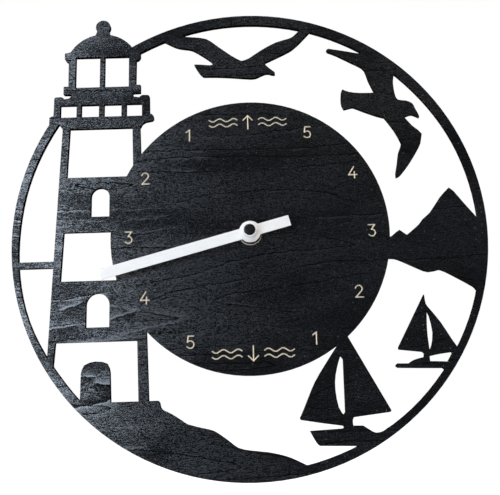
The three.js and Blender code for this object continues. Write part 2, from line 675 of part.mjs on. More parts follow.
function handGroup() {
  const spigot = TUBE_RADIUS + FIT + COLLET_SPIGOT;
  const half = HAND_WIDTH / 2;
  const baton = prism(rectangle(-HAND_TAIL, -half, HAND_LENGTH, half), HAND_REAR, HAND_FRONT);
  const hub = cylinder(HAND_HUB_RADIUS, HAND_REAR, HAND_FRONT);
  const eye = cylinder(spigot + FIT, HAND_REAR - OVERCUT, HAND_FRONT + OVERCUT);
  const bore = TUBE_RADIUS + FIT;
  const flange = (spigot + COLLET_RADIUS) / 2;
  const flangeFront = HAND_REAR - SEAT;
  const flangeRear = flangeFront - RIVET_FLANGE;
  const shoulder = HAND_FRONT + SEAT;
  const recess = CAP_RADIUS + FIT;
  const collet = lathe([
    [bore, flangeRear], [flange, flangeRear], [flange, flangeFront], [spigot, flangeFront],
    [spigot, shoulder], [COLLET_RADIUS, shoulder], [COLLET_RADIUS, COLLET_FRONT - FIT],
    [COLLET_RADIUS - FIT, COLLET_FRONT], [recess, COLLET_FRONT], [recess, CAP_REAR - RUN],
    [bore, CAP_REAR - RUN], [bore, flangeRear],
  ]);
  const stem = TUBE_BORE - FIT;
  const capFront = CAP_REAR + CAP_THICKNESS;
  const cap = lathe([
    [0, CAP_REAR - CAP_STEM], [stem, CAP_REAR - CAP_STEM], [stem, CAP_REAR], [CAP_RADIUS, CAP_REAR],
    [CAP_RADIUS, capFront - FIT], [CAP_RADIUS - FIT, capFront], [0, capFront],
  ]);
  const group = new THREE.Group();
  group.add(piece('tide_hand', cut(join(baton, hub), eye), whiteLacquer));
  group.add(piece('hand_collet', collet, whiteLacquer));
  group.add(piece('shaft_cap', cap, blackPlastic));
  group.rotation.z = THREE.MathUtils.degToRad(HAND_ANGLE);
  return group;
}

// Washer, nut and gasket that clamp the plate to the movement

function clampGroup() {
  const hole = circle(BUSH_RADIUS + FIT);
  const group = new THREE.Group();
  const gasket = prism(circle(GASKET_RADIUS), CASE_DEPTH, PLATE_REAR, [hole]);
  const washer = prism(circle(WASHER_RADIUS), PLATE_FRONT, NUT_REAR, [hole]);
  const hexagon = polygon(NUT_ACROSS_FLATS / Math.sqrt(3), 6);
  const nut = prism(hexagon, NUT_REAR, NUT_REAR + NUT_THICKNESS, [hole]);
  group.add(piece('dial_gasket', gasket, rubber));
  group.add(piece('dial_washer', washer, nickel));
  group.add(piece('dial_nut', nut, brass));
  return group;
}

// Case of the movement

function caseOutline(inset) {
  return roundedRectangle(-CASE_RIGHT + inset, CASE_BOTTOM + inset, CASE_RIGHT - inset, CASE_TOP - inset,
    CASE_CORNER - inset);
}

function frontCase() {
  const face = prism(caseOutline(0), CASE_INNER, CASE_DEPTH);
  const walls = prism(caseOutline(0), CASE_SPLIT + SEAT, CASE_DEPTH, [caseOutline(CASE_WALL)]);
  const bush = cylinder(BUSH_RADIUS, CASE_INNER, BUSH_END);
  const corners = rectangle(PILLAR_LEFT, PILLAR_BOTTOM, PILLAR_RIGHT, PILLAR_TOP);
  const middle = CASE_INNER + FRONT_WALL / 2;
  const pillars = corners.map((at) => cylinder(PILLAR_RADIUS, BRIDGE_FRONT + SEAT, middle, at));
  const bore = cylinder(TUBE_RADIUS + RUN, CASE_INNER - OVERCUT, BUSH_END + OVERCUT);
  const pivot = cylinder(ARBOR_RADIUS + FIT, CASE_INNER - OVERCUT, middle, REVERSING_AXIS);
  return piece('front_case', cut(join(face, walls, bush, ...pillars), bore, pivot), casePlastic);
}

function hangerLoop() {
  const foot = HANGER_WIDTH / 2;
  const head = HANGER_EYE_WIDTH / 2;
  const base = CASE_TOP - CASE_WALL;
  const top = CASE_TOP + HANGER_HEIGHT;
  const shoulder = [head + HANGER_CORNER, top - HANGER_CORNER];
  const loop = outline([-foot, base], [[foot, base]], [[foot, CASE_TOP]], [shoulder, [head, top]],
    [[-head, top]], [[-shoulder[0], shoulder[1]], [-foot, CASE_TOP]]);
  const eyeBottom = CASE_TOP + HANGER_ROOT;
  const eye = roundedRectangle(-head, eyeBottom, head, eyeBottom + HANGER_EYE_HEIGHT, HANGER_CORNER);
  return cut(prism(loop, 0, HANGER_THICKNESS), prism(eye, -OVERCUT, HANGER_THICKNESS + OVERCUT));
}

function rearCover() {
  const walls = prism(caseOutline(0), 0, CASE_SPLIT - SEAT, [caseOutline(CASE_WALL)]);
  const bayTop = PARTITION_TOP - PARTITION;
  const aboveBay = block(-CASE_RIGHT, bayTop, -OVERCUT, CASE_RIGHT, CASE_TOP, CASE_DEPTH);
  const back = prism(caseOutline(0), 0, REAR_WALL).intersect(aboveBay);
  const partition = block(CELL_LEFT, bayTop, 0, CELL_RIGHT, PARTITION_TOP, CASE_INNER - RUN);
  const wellRadius = KNOB_RADIUS + 2 * RUN;
  const well = cylinder(wellRadius + WELL_FLOOR, 0, WELL_FRONT, REVERSING_AXIS);
  const wellRoom = cylinder(wellRadius, -OVERCUT, WELL_FRONT - WELL_FLOOR, REVERSING_AXIS);
  const wellHole = cylinder(SETTING_ARBOR_RADIUS + FIT, -OVERCUT, WELL_FRONT + OVERCUT, REVERSING_AXIS);
  const pivots = [HAND_AXIS, THIRD_AXIS, INTERMEDIATE_AXIS, ROTOR_AXIS];
  const bosses = pivots.map((at) => cylinder(3 * ARBOR_RADIUS, 0, BOSS_FRONT, at));
  const holeEnd = BOSS_FRONT + OVERCUT;
  const pivotHoles = pivots.map((at) => cylinder(ARBOR_RADIUS + FIT, PIVOT_FLOOR, holeEnd, at));
  const boardMiddle = BOARD_BOTTOM + BOARD_HEIGHT / 2;
  const boardRight = BOARD_LEFT + BOARD_WIDTH;
  const boardSpots = line([BOARD_LEFT + BOARD_POST_INSET, boardMiddle],
    [boardRight - BOARD_POST_INSET, boardMiddle]);
  const boardPosts = boardSpots.map((at) => cylinder(PILLAR_RADIUS, 0, BOARD_REAR - SEAT, at));
  const coreSpots = line([COIL_AXIS.x, COIL_AXIS.y - CORE_END], [COIL_AXIS.x, COIL_AXIS.y + CORE_END]);
  const corePosts = coreSpots.map((at) => cylinder(PILLAR_RADIUS, 0, STATOR_REAR - SEAT, at));
  const whole = join(walls, back, partition, well, hangerLoop(), ...bosses, ...boardPosts, ...corePosts);
  return piece('rear_cover', cut(whole, wellRoom, wellHole, ...pivotHoles), casePlastic);
}

function bridgePlate() {
  const plate = roundedRectangle(PILLAR_LEFT - BRIDGE_MARGIN, PILLAR_BOTTOM - PILLAR_RADIUS,
    PILLAR_RIGHT + BRIDGE_MARGIN, PILLAR_TOP + BRIDGE_MARGIN, PILLAR_RADIUS);
  const pivots = [THIRD_AXIS, INTERMEDIATE_AXIS, ROTOR_AXIS];
  const holes = [
    circle(TUBE_BORE + 2 * RUN + CANNON_SLEEVE),
    ...pivots.map((at) => circle(ARBOR_RADIUS + FIT, at)),
    circle(SETTING_ARBOR_RADIUS + FIT, REVERSING_AXIS),
  ];
  return piece('bridge_plate', prism(plate, BRIDGE_REAR, BRIDGE_FRONT, holes), gearPlastic);
}

// Wheels. Each is drawn about its own arbor, with a tooth or a space towards the wheel it drives.

function toothTowards(teeth, gearModule, direction) {
  return turned(gear(teeth, gearModule), direction);
}

function spaceTowards(teeth, gearModule, direction) {
  return turned(gear(teeth, gearModule), direction + 180 / teeth);
}

function tideWheel() {
  const teeth = toothTowards(TIDE_TEETH, TIDE_MODULE, REVERSING_DIRECTION);
  const wheel = prism(teeth, TIDE_WHEEL_REAR, TIDE_WHEEL_REAR + MOTION_WHEEL_THICKNESS);
  const tube = cylinder(TUBE_RADIUS, TIDE_WHEEL_REAR, CAP_REAR - SEAT);
  const bore = cylinder(TUBE_BORE, TIDE_WHEEL_REAR - OVERCUT, CAP_REAR + OVERCUT);
  return piece('tide_wheel', cut(join(wheel, tube), bore), blackPlastic);
}

function reversingWheel() {
  const facing = REVERSING_DIRECTION + 180;
  const wheelFront = REVERSING_REAR + MOTION_WHEEL_THICKNESS;
  const wheel = prism(spaceTowards(REVERSING_TEETH, CANNON_MODULE, facing), REVERSING_REAR, wheelFront);
  const pinionFront = TIDE_WHEEL_REAR + MOTION_WHEEL_THICKNESS;
  const pinionTeeth = spaceTowards(REVERSING_PINION_TEETH, TIDE_MODULE, facing);
  const pinion = prism(pinionTeeth, REVERSING_REAR, pinionFront);
  const shaft = cylinder(SETTING_ARBOR_RADIUS, KNOB_FRONT - KNOB_THICKNESS / 2, wheelFront);
  const pivot = cylinder(ARBOR_RADIUS, REVERSING_REAR, CASE_INNER + FRONT_WALL / 2 - FIT);
  return piece('reversing_wheel', join(wheel, pinion, shaft, pivot), gearPlastic, REVERSING_AXIS);
}

function settingKnob() {
  const ridges = polygon(KNOB_RADIUS, KNOB_FLUTES);
  const flutes = turned(polygon(KNOB_RADIUS - KNOB_FLUTE_DEPTH, KNOB_FLUTES), 180 / KNOB_FLUTES);
  const rim = ridges.flatMap((ridge, i) => [ridge, flutes[i]]);
  const socketRear = KNOB_FRONT - KNOB_THICKNESS / 2 - RUN;
  const socket = cylinder(SETTING_ARBOR_RADIUS + FIT, socketRear, KNOB_FRONT + OVERCUT);
  return piece('setting_knob', cut(prism(rim, KNOB_REAR, KNOB_FRONT), socket), knobPlastic, REVERSING_AXIS);
}

function cannonPinion() {
  const bore = CENTRE_ARBOR + FIT;
  const sleeveRear = BRIDGE_REAR - RUN / 2;
  const teeth = toothTowards(CANNON_TEETH, CANNON_MODULE, REVERSING_DIRECTION);
  const pinion = prism(teeth, CANNON_REAR, CANNON_FRONT);
  const sleeve = cylinder(bore + CANNON_SLEEVE, sleeveRear, CANNON_FRONT);
  const hole = cylinder(bore, sleeveRear - OVERCUT, CANNON_FRONT + OVERCUT);
  return piece('cannon_pinion', cut(join(pinion, sleeve), hole), gearPlastic);
}

function centreWheel() {
  const hubRear = CENTRE_WHEEL_REAR - RUN;
  const wheelFront = CENTRE_WHEEL_REAR + WHEEL_THICKNESS;
  const teeth = toothTowards(CENTRE_TEETH, CENTRE_MODULE, THIRD_DIRECTION);
  const wheel = prism(teeth, CENTRE_WHEEL_REAR, wheelFront);
  const hub = cylinder(CENTRE_HUB_RADIUS, hubRear, wheelFront);
  const shaft = cylinder(CENTRE_ARBOR, hubRear, CASE_DEPTH);
  const bore = cylinder(ARBOR_RADIUS + FIT, hubRear - OVERCUT, wheelFront);
  return piece('centre_wheel', cut(join(wheel, hub, shaft), bore), gearPlastic);
}

function clutchSpring() {
  const rear = CENTRE_WHEEL_REAR + WHEEL_THICKNESS;
  const ring = prism(circle(CLUTCH_RADIUS), rear, rear + RUN, [circle(CENTRE_ARBOR + FIT)]);
  return piece('clutch_spring', ring, steel);
}

function thirdWheel() {
  const facing = THIRD_DIRECTION + 180;
  const wheelFront = THIRD_WHEEL_REAR + WHEEL_THICKNESS;
  const pinionFront = CENTRE_WHEEL_REAR + WHEEL_THICKNESS + RUN;
  const wheel = prism(spaceTowards(THIRD_TEETH, THIRD_MODULE, facing), THIRD_WHEEL_REAR, wheelFront);
  const pinionTeeth = spaceTowards(THIRD_PINION_TEETH, CENTRE_MODULE, facing);
  const pinion = prism(pinionTeeth, THIRD_WHEEL_REAR, pinionFront);
  const shaft = cylinder(ARBOR_RADIUS, ARBOR_REAR, ARBOR_FRONT);
  return piece('third_wheel', join(wheel, pinion, shaft), gearPlastic, THIRD_AXIS);
}

function secondsWheel() {
  const wheelFront = SECONDS_WHEEL_REAR + WHEEL_THICKNESS;
  const pinionFront = THIRD_WHEEL_REAR + WHEEL_THICKNESS + RUN;
  const wheelTeeth = toothTowards(SECONDS_TEETH, SECONDS_MODULE, INTERMEDIATE_DIRECTION);
  const wheel = prism(wheelTeeth, SECONDS_WHEEL_REAR, wheelFront);
  const pinionTeeth = toothTowards(SECONDS_PINION_TEETH, THIRD_MODULE, THIRD_DIRECTION);
  const pinion = prism(pinionTeeth, SECONDS_WHEEL_REAR, pinionFront);
  const shaft = cylinder(ARBOR_RADIUS, ARBOR_REAR, CENTRE_WHEEL_REAR + WHEEL_THICKNESS / 2);
  return piece('seconds_wheel', join(wheel, pinion, shaft), gearPlastic);
}

function intermediateWheel() {
  const facing = INTERMEDIATE_DIRECTION + 180;
  const wheelFront = INTERMEDIATE_REAR + WHEEL_THICKNESS;
  const pinionFront = SECONDS_WHEEL_REAR + WHEEL_THICKNESS + RUN;
  const wheelTeeth = toothTowards(INTERMEDIATE_TEETH, ROTOR_MODULE, ROTOR_DIRECTION);
  const wheel = prism(wheelTeeth, INTERMEDIATE_REAR, wheelFront);
  const pinionTeeth = spaceTowards(INTERMEDIATE_PINION_TEETH, SECONDS_MODULE, facing);
  const pinion = prism(pinionTeeth, INTERMEDIATE_REAR, pinionFront);
  const shaft = cylinder(ARBOR_RADIUS, ARBOR_REAR, ARBOR_FRONT);
  return piece('intermediate_wheel', join(wheel, pinion, shaft), gearPlastic, INTERMEDIATE_AXIS);
}

// Stepping motor

function rotor() {
  const facing = ROTOR_DIRECTION + 180;
  const pinionRear = INTERMEDIATE_REAR - RUN;
  const pinionFront = INTERMEDIATE_REAR + WHEEL_THICKNESS + RUN;
  const pinion = prism(spaceTowards(ROTOR_PINION_TEETH, ROTOR_MODULE, facing), pinionRear, pinionFront);
  const collar = cylinder(2 * ARBOR_RADIUS, pinionFront, MAGNET_REAR);
  const shaft = cylinder(ARBOR_RADIUS, ARBOR_REAR, ARBOR_FRONT);
  const bore = circle(ARBOR_RADIUS + FIT);
  const magnetFront = MAGNET_REAR + MAGNET_THICKNESS;
  const magnet = prism(circle(MAGNET_RADIUS), MAGNET_REAR + SEAT, magnetFront, [bore]);
  return [
    piece('rotor_pinion', join(pinion, collar, shaft), gearPlastic, ROTOR_AXIS),
    piece('rotor_magnet', magnet, ferrite, ROTOR_AXIS),
  ];
}

function statorPlate() {
  const holeRadius = MAGNET_RADIUS + RUN + FIT;
  const hole = cylinder(holeRadius, STATOR_REAR - OVERCUT, STATOR_FRONT + OVERCUT);
  const ring = cylinder(holeRadius + STATOR_RIM, STATOR_REAR, STATOR_FRONT);
  const half = STATOR_ARM / 2;
  const spine = block(-half, -CORE_END - half, STATOR_REAR, half, CORE_END + half, STATOR_FRONT);
  const arms = [-CORE_END, CORE_END].map(
    (y) => block(-COIL_SETBACK - half, y - half, STATOR_REAR, half, y + half, STATOR_FRONT));
  return piece('stator_plate', cut(join(ring, spine, ...arms), hole), iron, ROTOR_AXIS);
}

// The coil stands along y, drawn about its own axis
function coil() {
  const coreRear = STATOR_FRONT + SEAT;
  const middle = coreRear + CORE_THICKNESS / 2;
  const half = COIL_LENGTH / 2;
  const end = half + BOBBIN_FLANGE;
  const reach = CORE_END + STATOR_ARM / 2;
  const along = (solid) => toSolid(toGeometry(solid).rotateX(-Math.PI / 2).translate(0, 0, middle));
  const flange = circle(COIL_RADIUS + RUN);
  const roomX = CORE_WIDTH / 2 + FIT;
  const roomY = CORE_THICKNESS / 2 + FIT;
  const room = rectangle(-roomX, -roomY, roomX, roomY);
  const spool = join(
    prism(circle(BOBBIN_RADIUS), -end, end, [room]),
    prism(flange, half, end, [room]),
    prism(flange, -end, -half, [room]),
  );
  const wire = prism(circle(COIL_RADIUS), -half + FIT, half - FIT, [circle(BOBBIN_RADIUS + FIT)]);
  const core = block(-CORE_WIDTH / 2, -reach, coreRear, CORE_WIDTH / 2, reach, coreRear + CORE_THICKNESS);
  return [
    piece('coil_bobbin', along(spool), gearPlastic, COIL_AXIS),
    piece('coil_winding', along(wire), copper, COIL_AXIS),
    piece('coil_core', core, iron, COIL_AXIS),
  ];
}

// Electronics and supply

function electronics() {
  const right = BOARD_LEFT + BOARD_WIDTH;
  const top = BOARD_BOTTOM + BOARD_HEIGHT;
  const board = block(BOARD_LEFT, BOARD_BOTTOM, BOARD_REAR, right, top, BOARD_FRONT);
  const seat = BOARD_FRONT + SEAT;
  const lying = toGeometry(cylinder(CRYSTAL_RADIUS, 0, CRYSTAL_LENGTH)).rotateY(Math.PI / 2);
  const canY = BOARD_BOTTOM + CRYSTAL_RADIUS + RUN;
  const can = toSolid(lying.translate(BOARD_LEFT + CRYSTAL_INSET, canY, seat + CRYSTAL_RADIUS));
  const crown = BOARD_FRONT + CHIP_HEIGHT;
  const shoulder = BOARD_FRONT + CHIP_HEIGHT / 2;
  const blob = lathe([
    [0, seat], [CHIP_RADIUS, seat], [0.85 * CHIP_RADIUS, shoulder], [0.45 * CHIP_RADIUS, crown],
    [0, crown],
  ]);
  const chipAt = new THREE.Vector2(right - 1.5 * CHIP_RADIUS, BOARD_BOTTOM + BOARD_HEIGHT / 2);
  return [
    piece('circuit_board', board, boardLaminate),
    piece('quartz_crystal', can, nickel),
    piece('driver_chip', blob, epoxy, chipAt),
  ];
}

function cell() {
  const radius = CELL_DIAMETER / 2;
  const shoulder = CELL_LENGTH - CELL_NUB_LENGTH;
  const can = lathe([
    [0, 0], [radius - CELL_EDGE, 0], [radius, CELL_EDGE], [radius, shoulder - CELL_EDGE],
    [radius - CELL_EDGE, shoulder], [CELL_NUB_RADIUS, shoulder], [CELL_NUB_RADIUS, CELL_LENGTH],
    [0, CELL_LENGTH],
  ]);
  const lying = toSolid(toGeometry(can).rotateY(Math.PI / 2).translate(CELL_LEFT, CELL_Y, CELL_Z));
  return piece('aa_cell', lying, cellSleeve);
}

// Each contact is a bent strip: a pad at the end of the cell, and a tab under the circuit board
function contacts() {
  const low = CELL_Z - CELL_DIAMETER / 4;
  const high = CELL_Z + CELL_DIAMETER / 4;
  const padBottom = CELL_Y - CELL_DIAMETER / 4;
  const padTop = CELL_Y + CELL_DIAMETER / 4;
  const tabFront = BOARD_REAR - SEAT;
  const tabRear = tabFront - CONTACT_THICKNESS;
  const railRear = tabFront - CONTACT_TAB;
  const railBottom = PARTITION_TOP + RUN;
  const railTop = railBottom + CONTACT_THICKNESS;
  const tabTop = BOARD_BOTTOM + CONTACT_TAB;
  const plusLeft = CELL_RIGHT + RUN;
  const plusRight = plusLeft + CONTACT_THICKNESS;
  const tabLeft = BOARD_LEFT + BOARD_WIDTH - CONTACT_TAB;
  const plus = join(
    block(plusLeft, padBottom, low, plusRight, railTop, high),
    block(tabLeft, railBottom, railRear, plusRight, railTop, tabFront),
    block(tabLeft, railBottom, tabRear, tabLeft + CONTACT_TAB / 2, tabTop, tabFront),
  );
  const minusLeft = -CASE_RIGHT + CASE_WALL + RUN;
  const minusRight = minusLeft + CONTACT_THICKNESS;
  const bowFoot = minusRight - CONTACT_THICKNESS / 2;
  const bowCrest = CELL_LEFT - RUN - CONTACT_THICKNESS / 2;
  const bow = stroke(outline([bowFoot, padBottom], [[bowCrest, CELL_Y],
    [bowFoot, padTop]]), CONTACT_THICKNESS);
  const footBottom = tabTop - CONTACT_TAB / 2;
  const minus = join(
    prism(bow, low, high),
    block(minusLeft, padBottom, low, minusRight, railTop, high),
    block(minusLeft, railBottom, railRear, minusRight, tabTop, tabFront),
    block(minusLeft, footBottom, tabRear, BOARD_LEFT + CONTACT_TAB / 2, tabTop, tabFront),
  );
  return [piece('positive_contact', plus, nickel), piece('negative_contact', minus, nickel)];
}

function movementGroup() {
  const group = new THREE.Group();
  group.add(frontCase(), rearCover(), bridgePlate(), cell(), ...contacts(), ...electronics());
  group.add(statorPlate(), ...coil(), ...rotor());
  group.add(intermediateWheel(), secondsWheel(), thirdWheel(), centreWheel(), clutchSpring());
  group.add(cannonPinion(), reversingWheel(), settingKnob(), tideWheel());
  return group;
}

const clock = new THREE.Group();
clock.add(fretworkPlate(), clampGroup(), handGroup(), movementGroup());
clock.rotation.x = Math.PI / 2;

export default clock;
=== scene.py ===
"""Looks of a wall tide clock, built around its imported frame.

The plate, the hand, the clamping stack and the quartz movement are dressed here. Every new piece stands where
its solid stands in the frame and rides on the same body.
"""

import logging
import math
from dataclasses import dataclass, field
from enum import Enum
from typing import Any, Iterable, NamedTuple, Sequence

import bpy
from mathutils import Matrix, Vector

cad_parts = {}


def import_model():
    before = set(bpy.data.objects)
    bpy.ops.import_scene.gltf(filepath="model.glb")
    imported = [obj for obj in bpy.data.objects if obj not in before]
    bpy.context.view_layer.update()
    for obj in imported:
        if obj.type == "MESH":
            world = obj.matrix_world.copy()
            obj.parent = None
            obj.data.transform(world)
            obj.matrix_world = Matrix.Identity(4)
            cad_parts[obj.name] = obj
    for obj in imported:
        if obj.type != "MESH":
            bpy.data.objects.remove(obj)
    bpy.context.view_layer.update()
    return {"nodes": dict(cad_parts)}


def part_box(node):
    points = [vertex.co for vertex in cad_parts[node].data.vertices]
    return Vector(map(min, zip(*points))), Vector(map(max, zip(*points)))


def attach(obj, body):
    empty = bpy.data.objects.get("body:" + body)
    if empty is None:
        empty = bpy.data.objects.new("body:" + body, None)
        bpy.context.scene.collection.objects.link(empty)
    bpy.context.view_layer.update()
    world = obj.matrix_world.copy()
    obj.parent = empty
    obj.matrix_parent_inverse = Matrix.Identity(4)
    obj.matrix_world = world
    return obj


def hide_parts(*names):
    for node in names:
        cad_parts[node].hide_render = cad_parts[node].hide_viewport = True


LOG = logging.getLogger("tide_clock")
MM = 0.001

Triple = tuple[float, float, float]
Colour = tuple[float, float, float]
Point = tuple[float, float]
Value = Any
Socket = bpy.types.NodeSocket
Piece = bpy.types.Object


class Body(Enum):
    """Bodies of the frame that the new pieces ride on."""

    CLOCK = "clock"
    HAND = "hand"
    SETTING = "setting"


class Slot(Enum):
    """Material slots of the record, passed along with the new pieces."""

    PLYWOOD = "stained_plywood"
    LACQUER = "white_lacquer"
    BLACK = "black_plastic"
    CASE = "case_plastic"
    KNOB = "knob_plastic"
    RUBBER = "rubber"
    NICKEL = "nickel"
    BRASS = "brass"
    STEEL = "spring_steel"
    CELL = "cell_can"


class Combine(Enum):
    """Ways of working one solid with another."""

    CUT = "DIFFERENCE"
    TRIM = "INTERSECT"


class Wiring:
    """Adds and links the nodes of one shader tree."""

    def __init__(self, tree: bpy.types.NodeTree) -> None:
        """Keeps the tree that gets the nodes."""
        self.tree = tree

    @classmethod
    def fresh(cls, owner: Any) -> "Wiring":
        """Empties the shader tree of a material or a world.

        Args:
            owner: the material or the world.

        Returns:
            The wiring of its tree.
        """
        owner.use_nodes = True
        owner.node_tree.nodes.clear()
        return cls(owner.node_tree)

    def add(self, kind: str, sockets: dict[Any, Value] | None = None, **settings: Any) -> bpy.types.Node:
        """Adds a node.

        Args:
            kind: the node's type.
            sockets: input values, or output sockets to link, by input name or number.
            settings: the node's own properties.

        Returns:
            The new node.
        """
        node = self.tree.nodes.new(kind)
        for key, value in settings.items():
            setattr(node, key, value)
        for key, value in (sockets or {}).items():
            self.feed(node.inputs[key], value)
        return node

    def feed(self, socket: Socket, value: Value) -> None:
        """Links an output to an input, or sets the input's value.

        Args:
            socket: the input.
            value: an output socket, a number, a colour or a vector.
        """
        if isinstance(value, Socket):
            self.tree.links.new(value, socket)
        elif socket.type == "RGBA" and len(value) == 3:
            socket.default_value = (*value, 1.0)
        else:
            socket.default_value = value

    def math(self, operation: str, *values: Value) -> Socket:
        """Works out a sum.

        Args:
            operation: the Math node's operation.
            values: its inputs.

        Returns:
            The result's socket.
        """
        return self.add("ShaderNodeMath", dict(enumerate(values)), operation=operation).outputs[0]

    def times(self, first: Value, *others: Value) -> Socket:
        """Multiplies values.

        Args:
            first: the first value.
            others: the values that it is multiplied by.

        Returns:
            The product's socket.
        """
        product = first
        for value in others:
            product = self.math("MULTIPLY", product, value)
        return product

    def mix(self, share: Value, low: Value, high: Value) -> Socket:
        """Mixes two colours.

        Args:
            share: how much of the second colour shows.
            low: the first colour.
            high: the second colour.

        Returns:
            The mixed colour's socket.
        """
        return self.add("ShaderNodeMix", {0: share, 6: low, 7: high}, data_type="RGBA").outputs[2]

    def span(self, value: Value, low: float, high: float, to_low: float = 0.0, to_high: float = 1.0,
             smooth: bool = True) -> Socket:
        """Maps one range of numbers to another and holds it at the ends.

        Args:
            value: what is mapped.
            low: the value that gives to_low.
            high: the value that gives to_high.
            to_low: the result at low.
            to_high: the result at high.
            smooth: eases in and out instead of running straight.

        Returns:
            The result's socket.
        """
        kind = "SMOOTHSTEP" if smooth else "LINEAR"
        sockets = {0: value, 1: low, 2: high, 3: to_low, 4: to_high}
        return self.add("ShaderNodeMapRange", sockets, interpolation_type=kind).outputs[0]

    def stretch(self, vector: Value, scale: Triple, turn: Triple = (0, 0, 0),
                shift: Triple = (0, 0, 0)) -> Socket:
        """Scales, turns and moves coordinates.

        Args:
            vector: the coordinates.
            scale: factors along x, y and z.
            turn: angles about x, y and z.
            shift: distances along x, y and z.

        Returns:
            The new coordinates' socket.
        """
        sockets = {"Vector": vector, "Scale": scale, "Rotation": turn, "Location": shift}
        return self.add("ShaderNodeMapping", sockets).outputs[0]

    def noise(self, vector: Value, scale: Value = 1.0, detail: float = 2.0, rough: float = 0.5,
              distortion: float = 0.0) -> Socket:
        """Adds a noise of mean about one half.

        Args:
            vector: the coordinates.
            scale: waves per unit.
            detail: octaves.
            rough: how strong the finer octaves are.
            distortion: how far the noise swirls.

        Returns:
            The noise value's socket.
        """
        sockets = {"Vector": vector, "Scale": scale, "Detail": detail, "Roughness": rough,
                   "Distortion": distortion}
        return self.add("ShaderNodeTexNoise", sockets).outputs[0]

    def waves(self, vector: Value, scale: Triple, detail: float = 2.0, rough: float = 0.5) -> Socket:
        """Adds a noise with its own number of waves per metre along x, y and z.

        Args:
            vector: the coordinates.
            scale: waves per metre along x, y and z.
            detail: octaves.
            rough: how strong the finer octaves are.

        Returns:
            The noise value's socket.
        """
        return self.noise(self.stretch(vector, scale), detail=detail, rough=rough)

    def split(self, vector: Value) -> list[Socket]:
        """Gives the x, y and z sockets of a vector."""
        return list(self.add("ShaderNodeSeparateXYZ", {0: vector}).outputs)

    def bump(self, height: Value, strength: float, distance: float) -> Socket:
        """Turns a height into a normal.

        Args:
            height: the height's socket.
            strength: how strongly it shows.
            distance: the height, in metres, of a value of one.

        Returns:
            The normal's socket.
        """
        sockets = {"Height": height, "Strength": strength, "Distance": distance}
        return self.add("ShaderNodeBump", sockets).outputs[0]


class EffectGroup:
    """A shader node group that several finishes share."""

    name = "effect"
    inputs: dict[str, tuple[str, Value]] = {}
    outputs: dict[str, str] = {}

    @classmethod
    def tree(cls) -> bpy.types.NodeTree:
        """Gives the group's tree, and builds it the first time.

        Returns:
            The node group.
        """
        found = bpy.data.node_groups.get(cls.name)
        if found:
            return found
        tree = bpy.data.node_groups.new(cls.name, "ShaderNodeTree")
        for title, (kind, value) in cls.inputs.items():
            socket = tree.interface.new_socket(title, in_out="INPUT", socket_type=kind)
            if value is not None:
                socket.default_value = value
        for title, kind in cls.outputs.items():
            tree.interface.new_socket(title, in_out="OUTPUT", socket_type=kind)
        wiring = Wiring(tree)
        cls.wire(wiring, wiring.add("NodeGroupInput").outputs, wiring.add("NodeGroupOutput").inputs)
        return tree

    @classmethod
    def wire(cls, wiring: Wiring, given: Any, result: Any) -> None:
        """Fills the group. Each effect has its own.

        Args:
            wiring: the group's nodes.
            given: sockets of the group's inputs.
            result: sockets of the group's outputs.
        """
        raise NotImplementedError

    @classmethod
    def place(cls, wiring: Wiring, **values: Value) -> Any:
        """Places the group in a material.

        Args:
            wiring: the material's nodes.
            values: the group's inputs, by name.

        Returns:
            The output sockets of the placed group.
        """
        node = wiring.add("ShaderNodeGroup", node_tree=cls.tree())
        for title, value in values.items():
            wiring.feed(node.inputs[title], value)
        return node.outputs


class RippleSheen(NamedTuple):
    """A strong ripple of the veneer, drawn as a painted sheen on one side with a painted shade on the other:
    its two ends in millimetres and how strongly it shows.
    """

    left: float
    left_height: float
    right: float
    right_height: float
    strength: float
    slope_below: bool = False


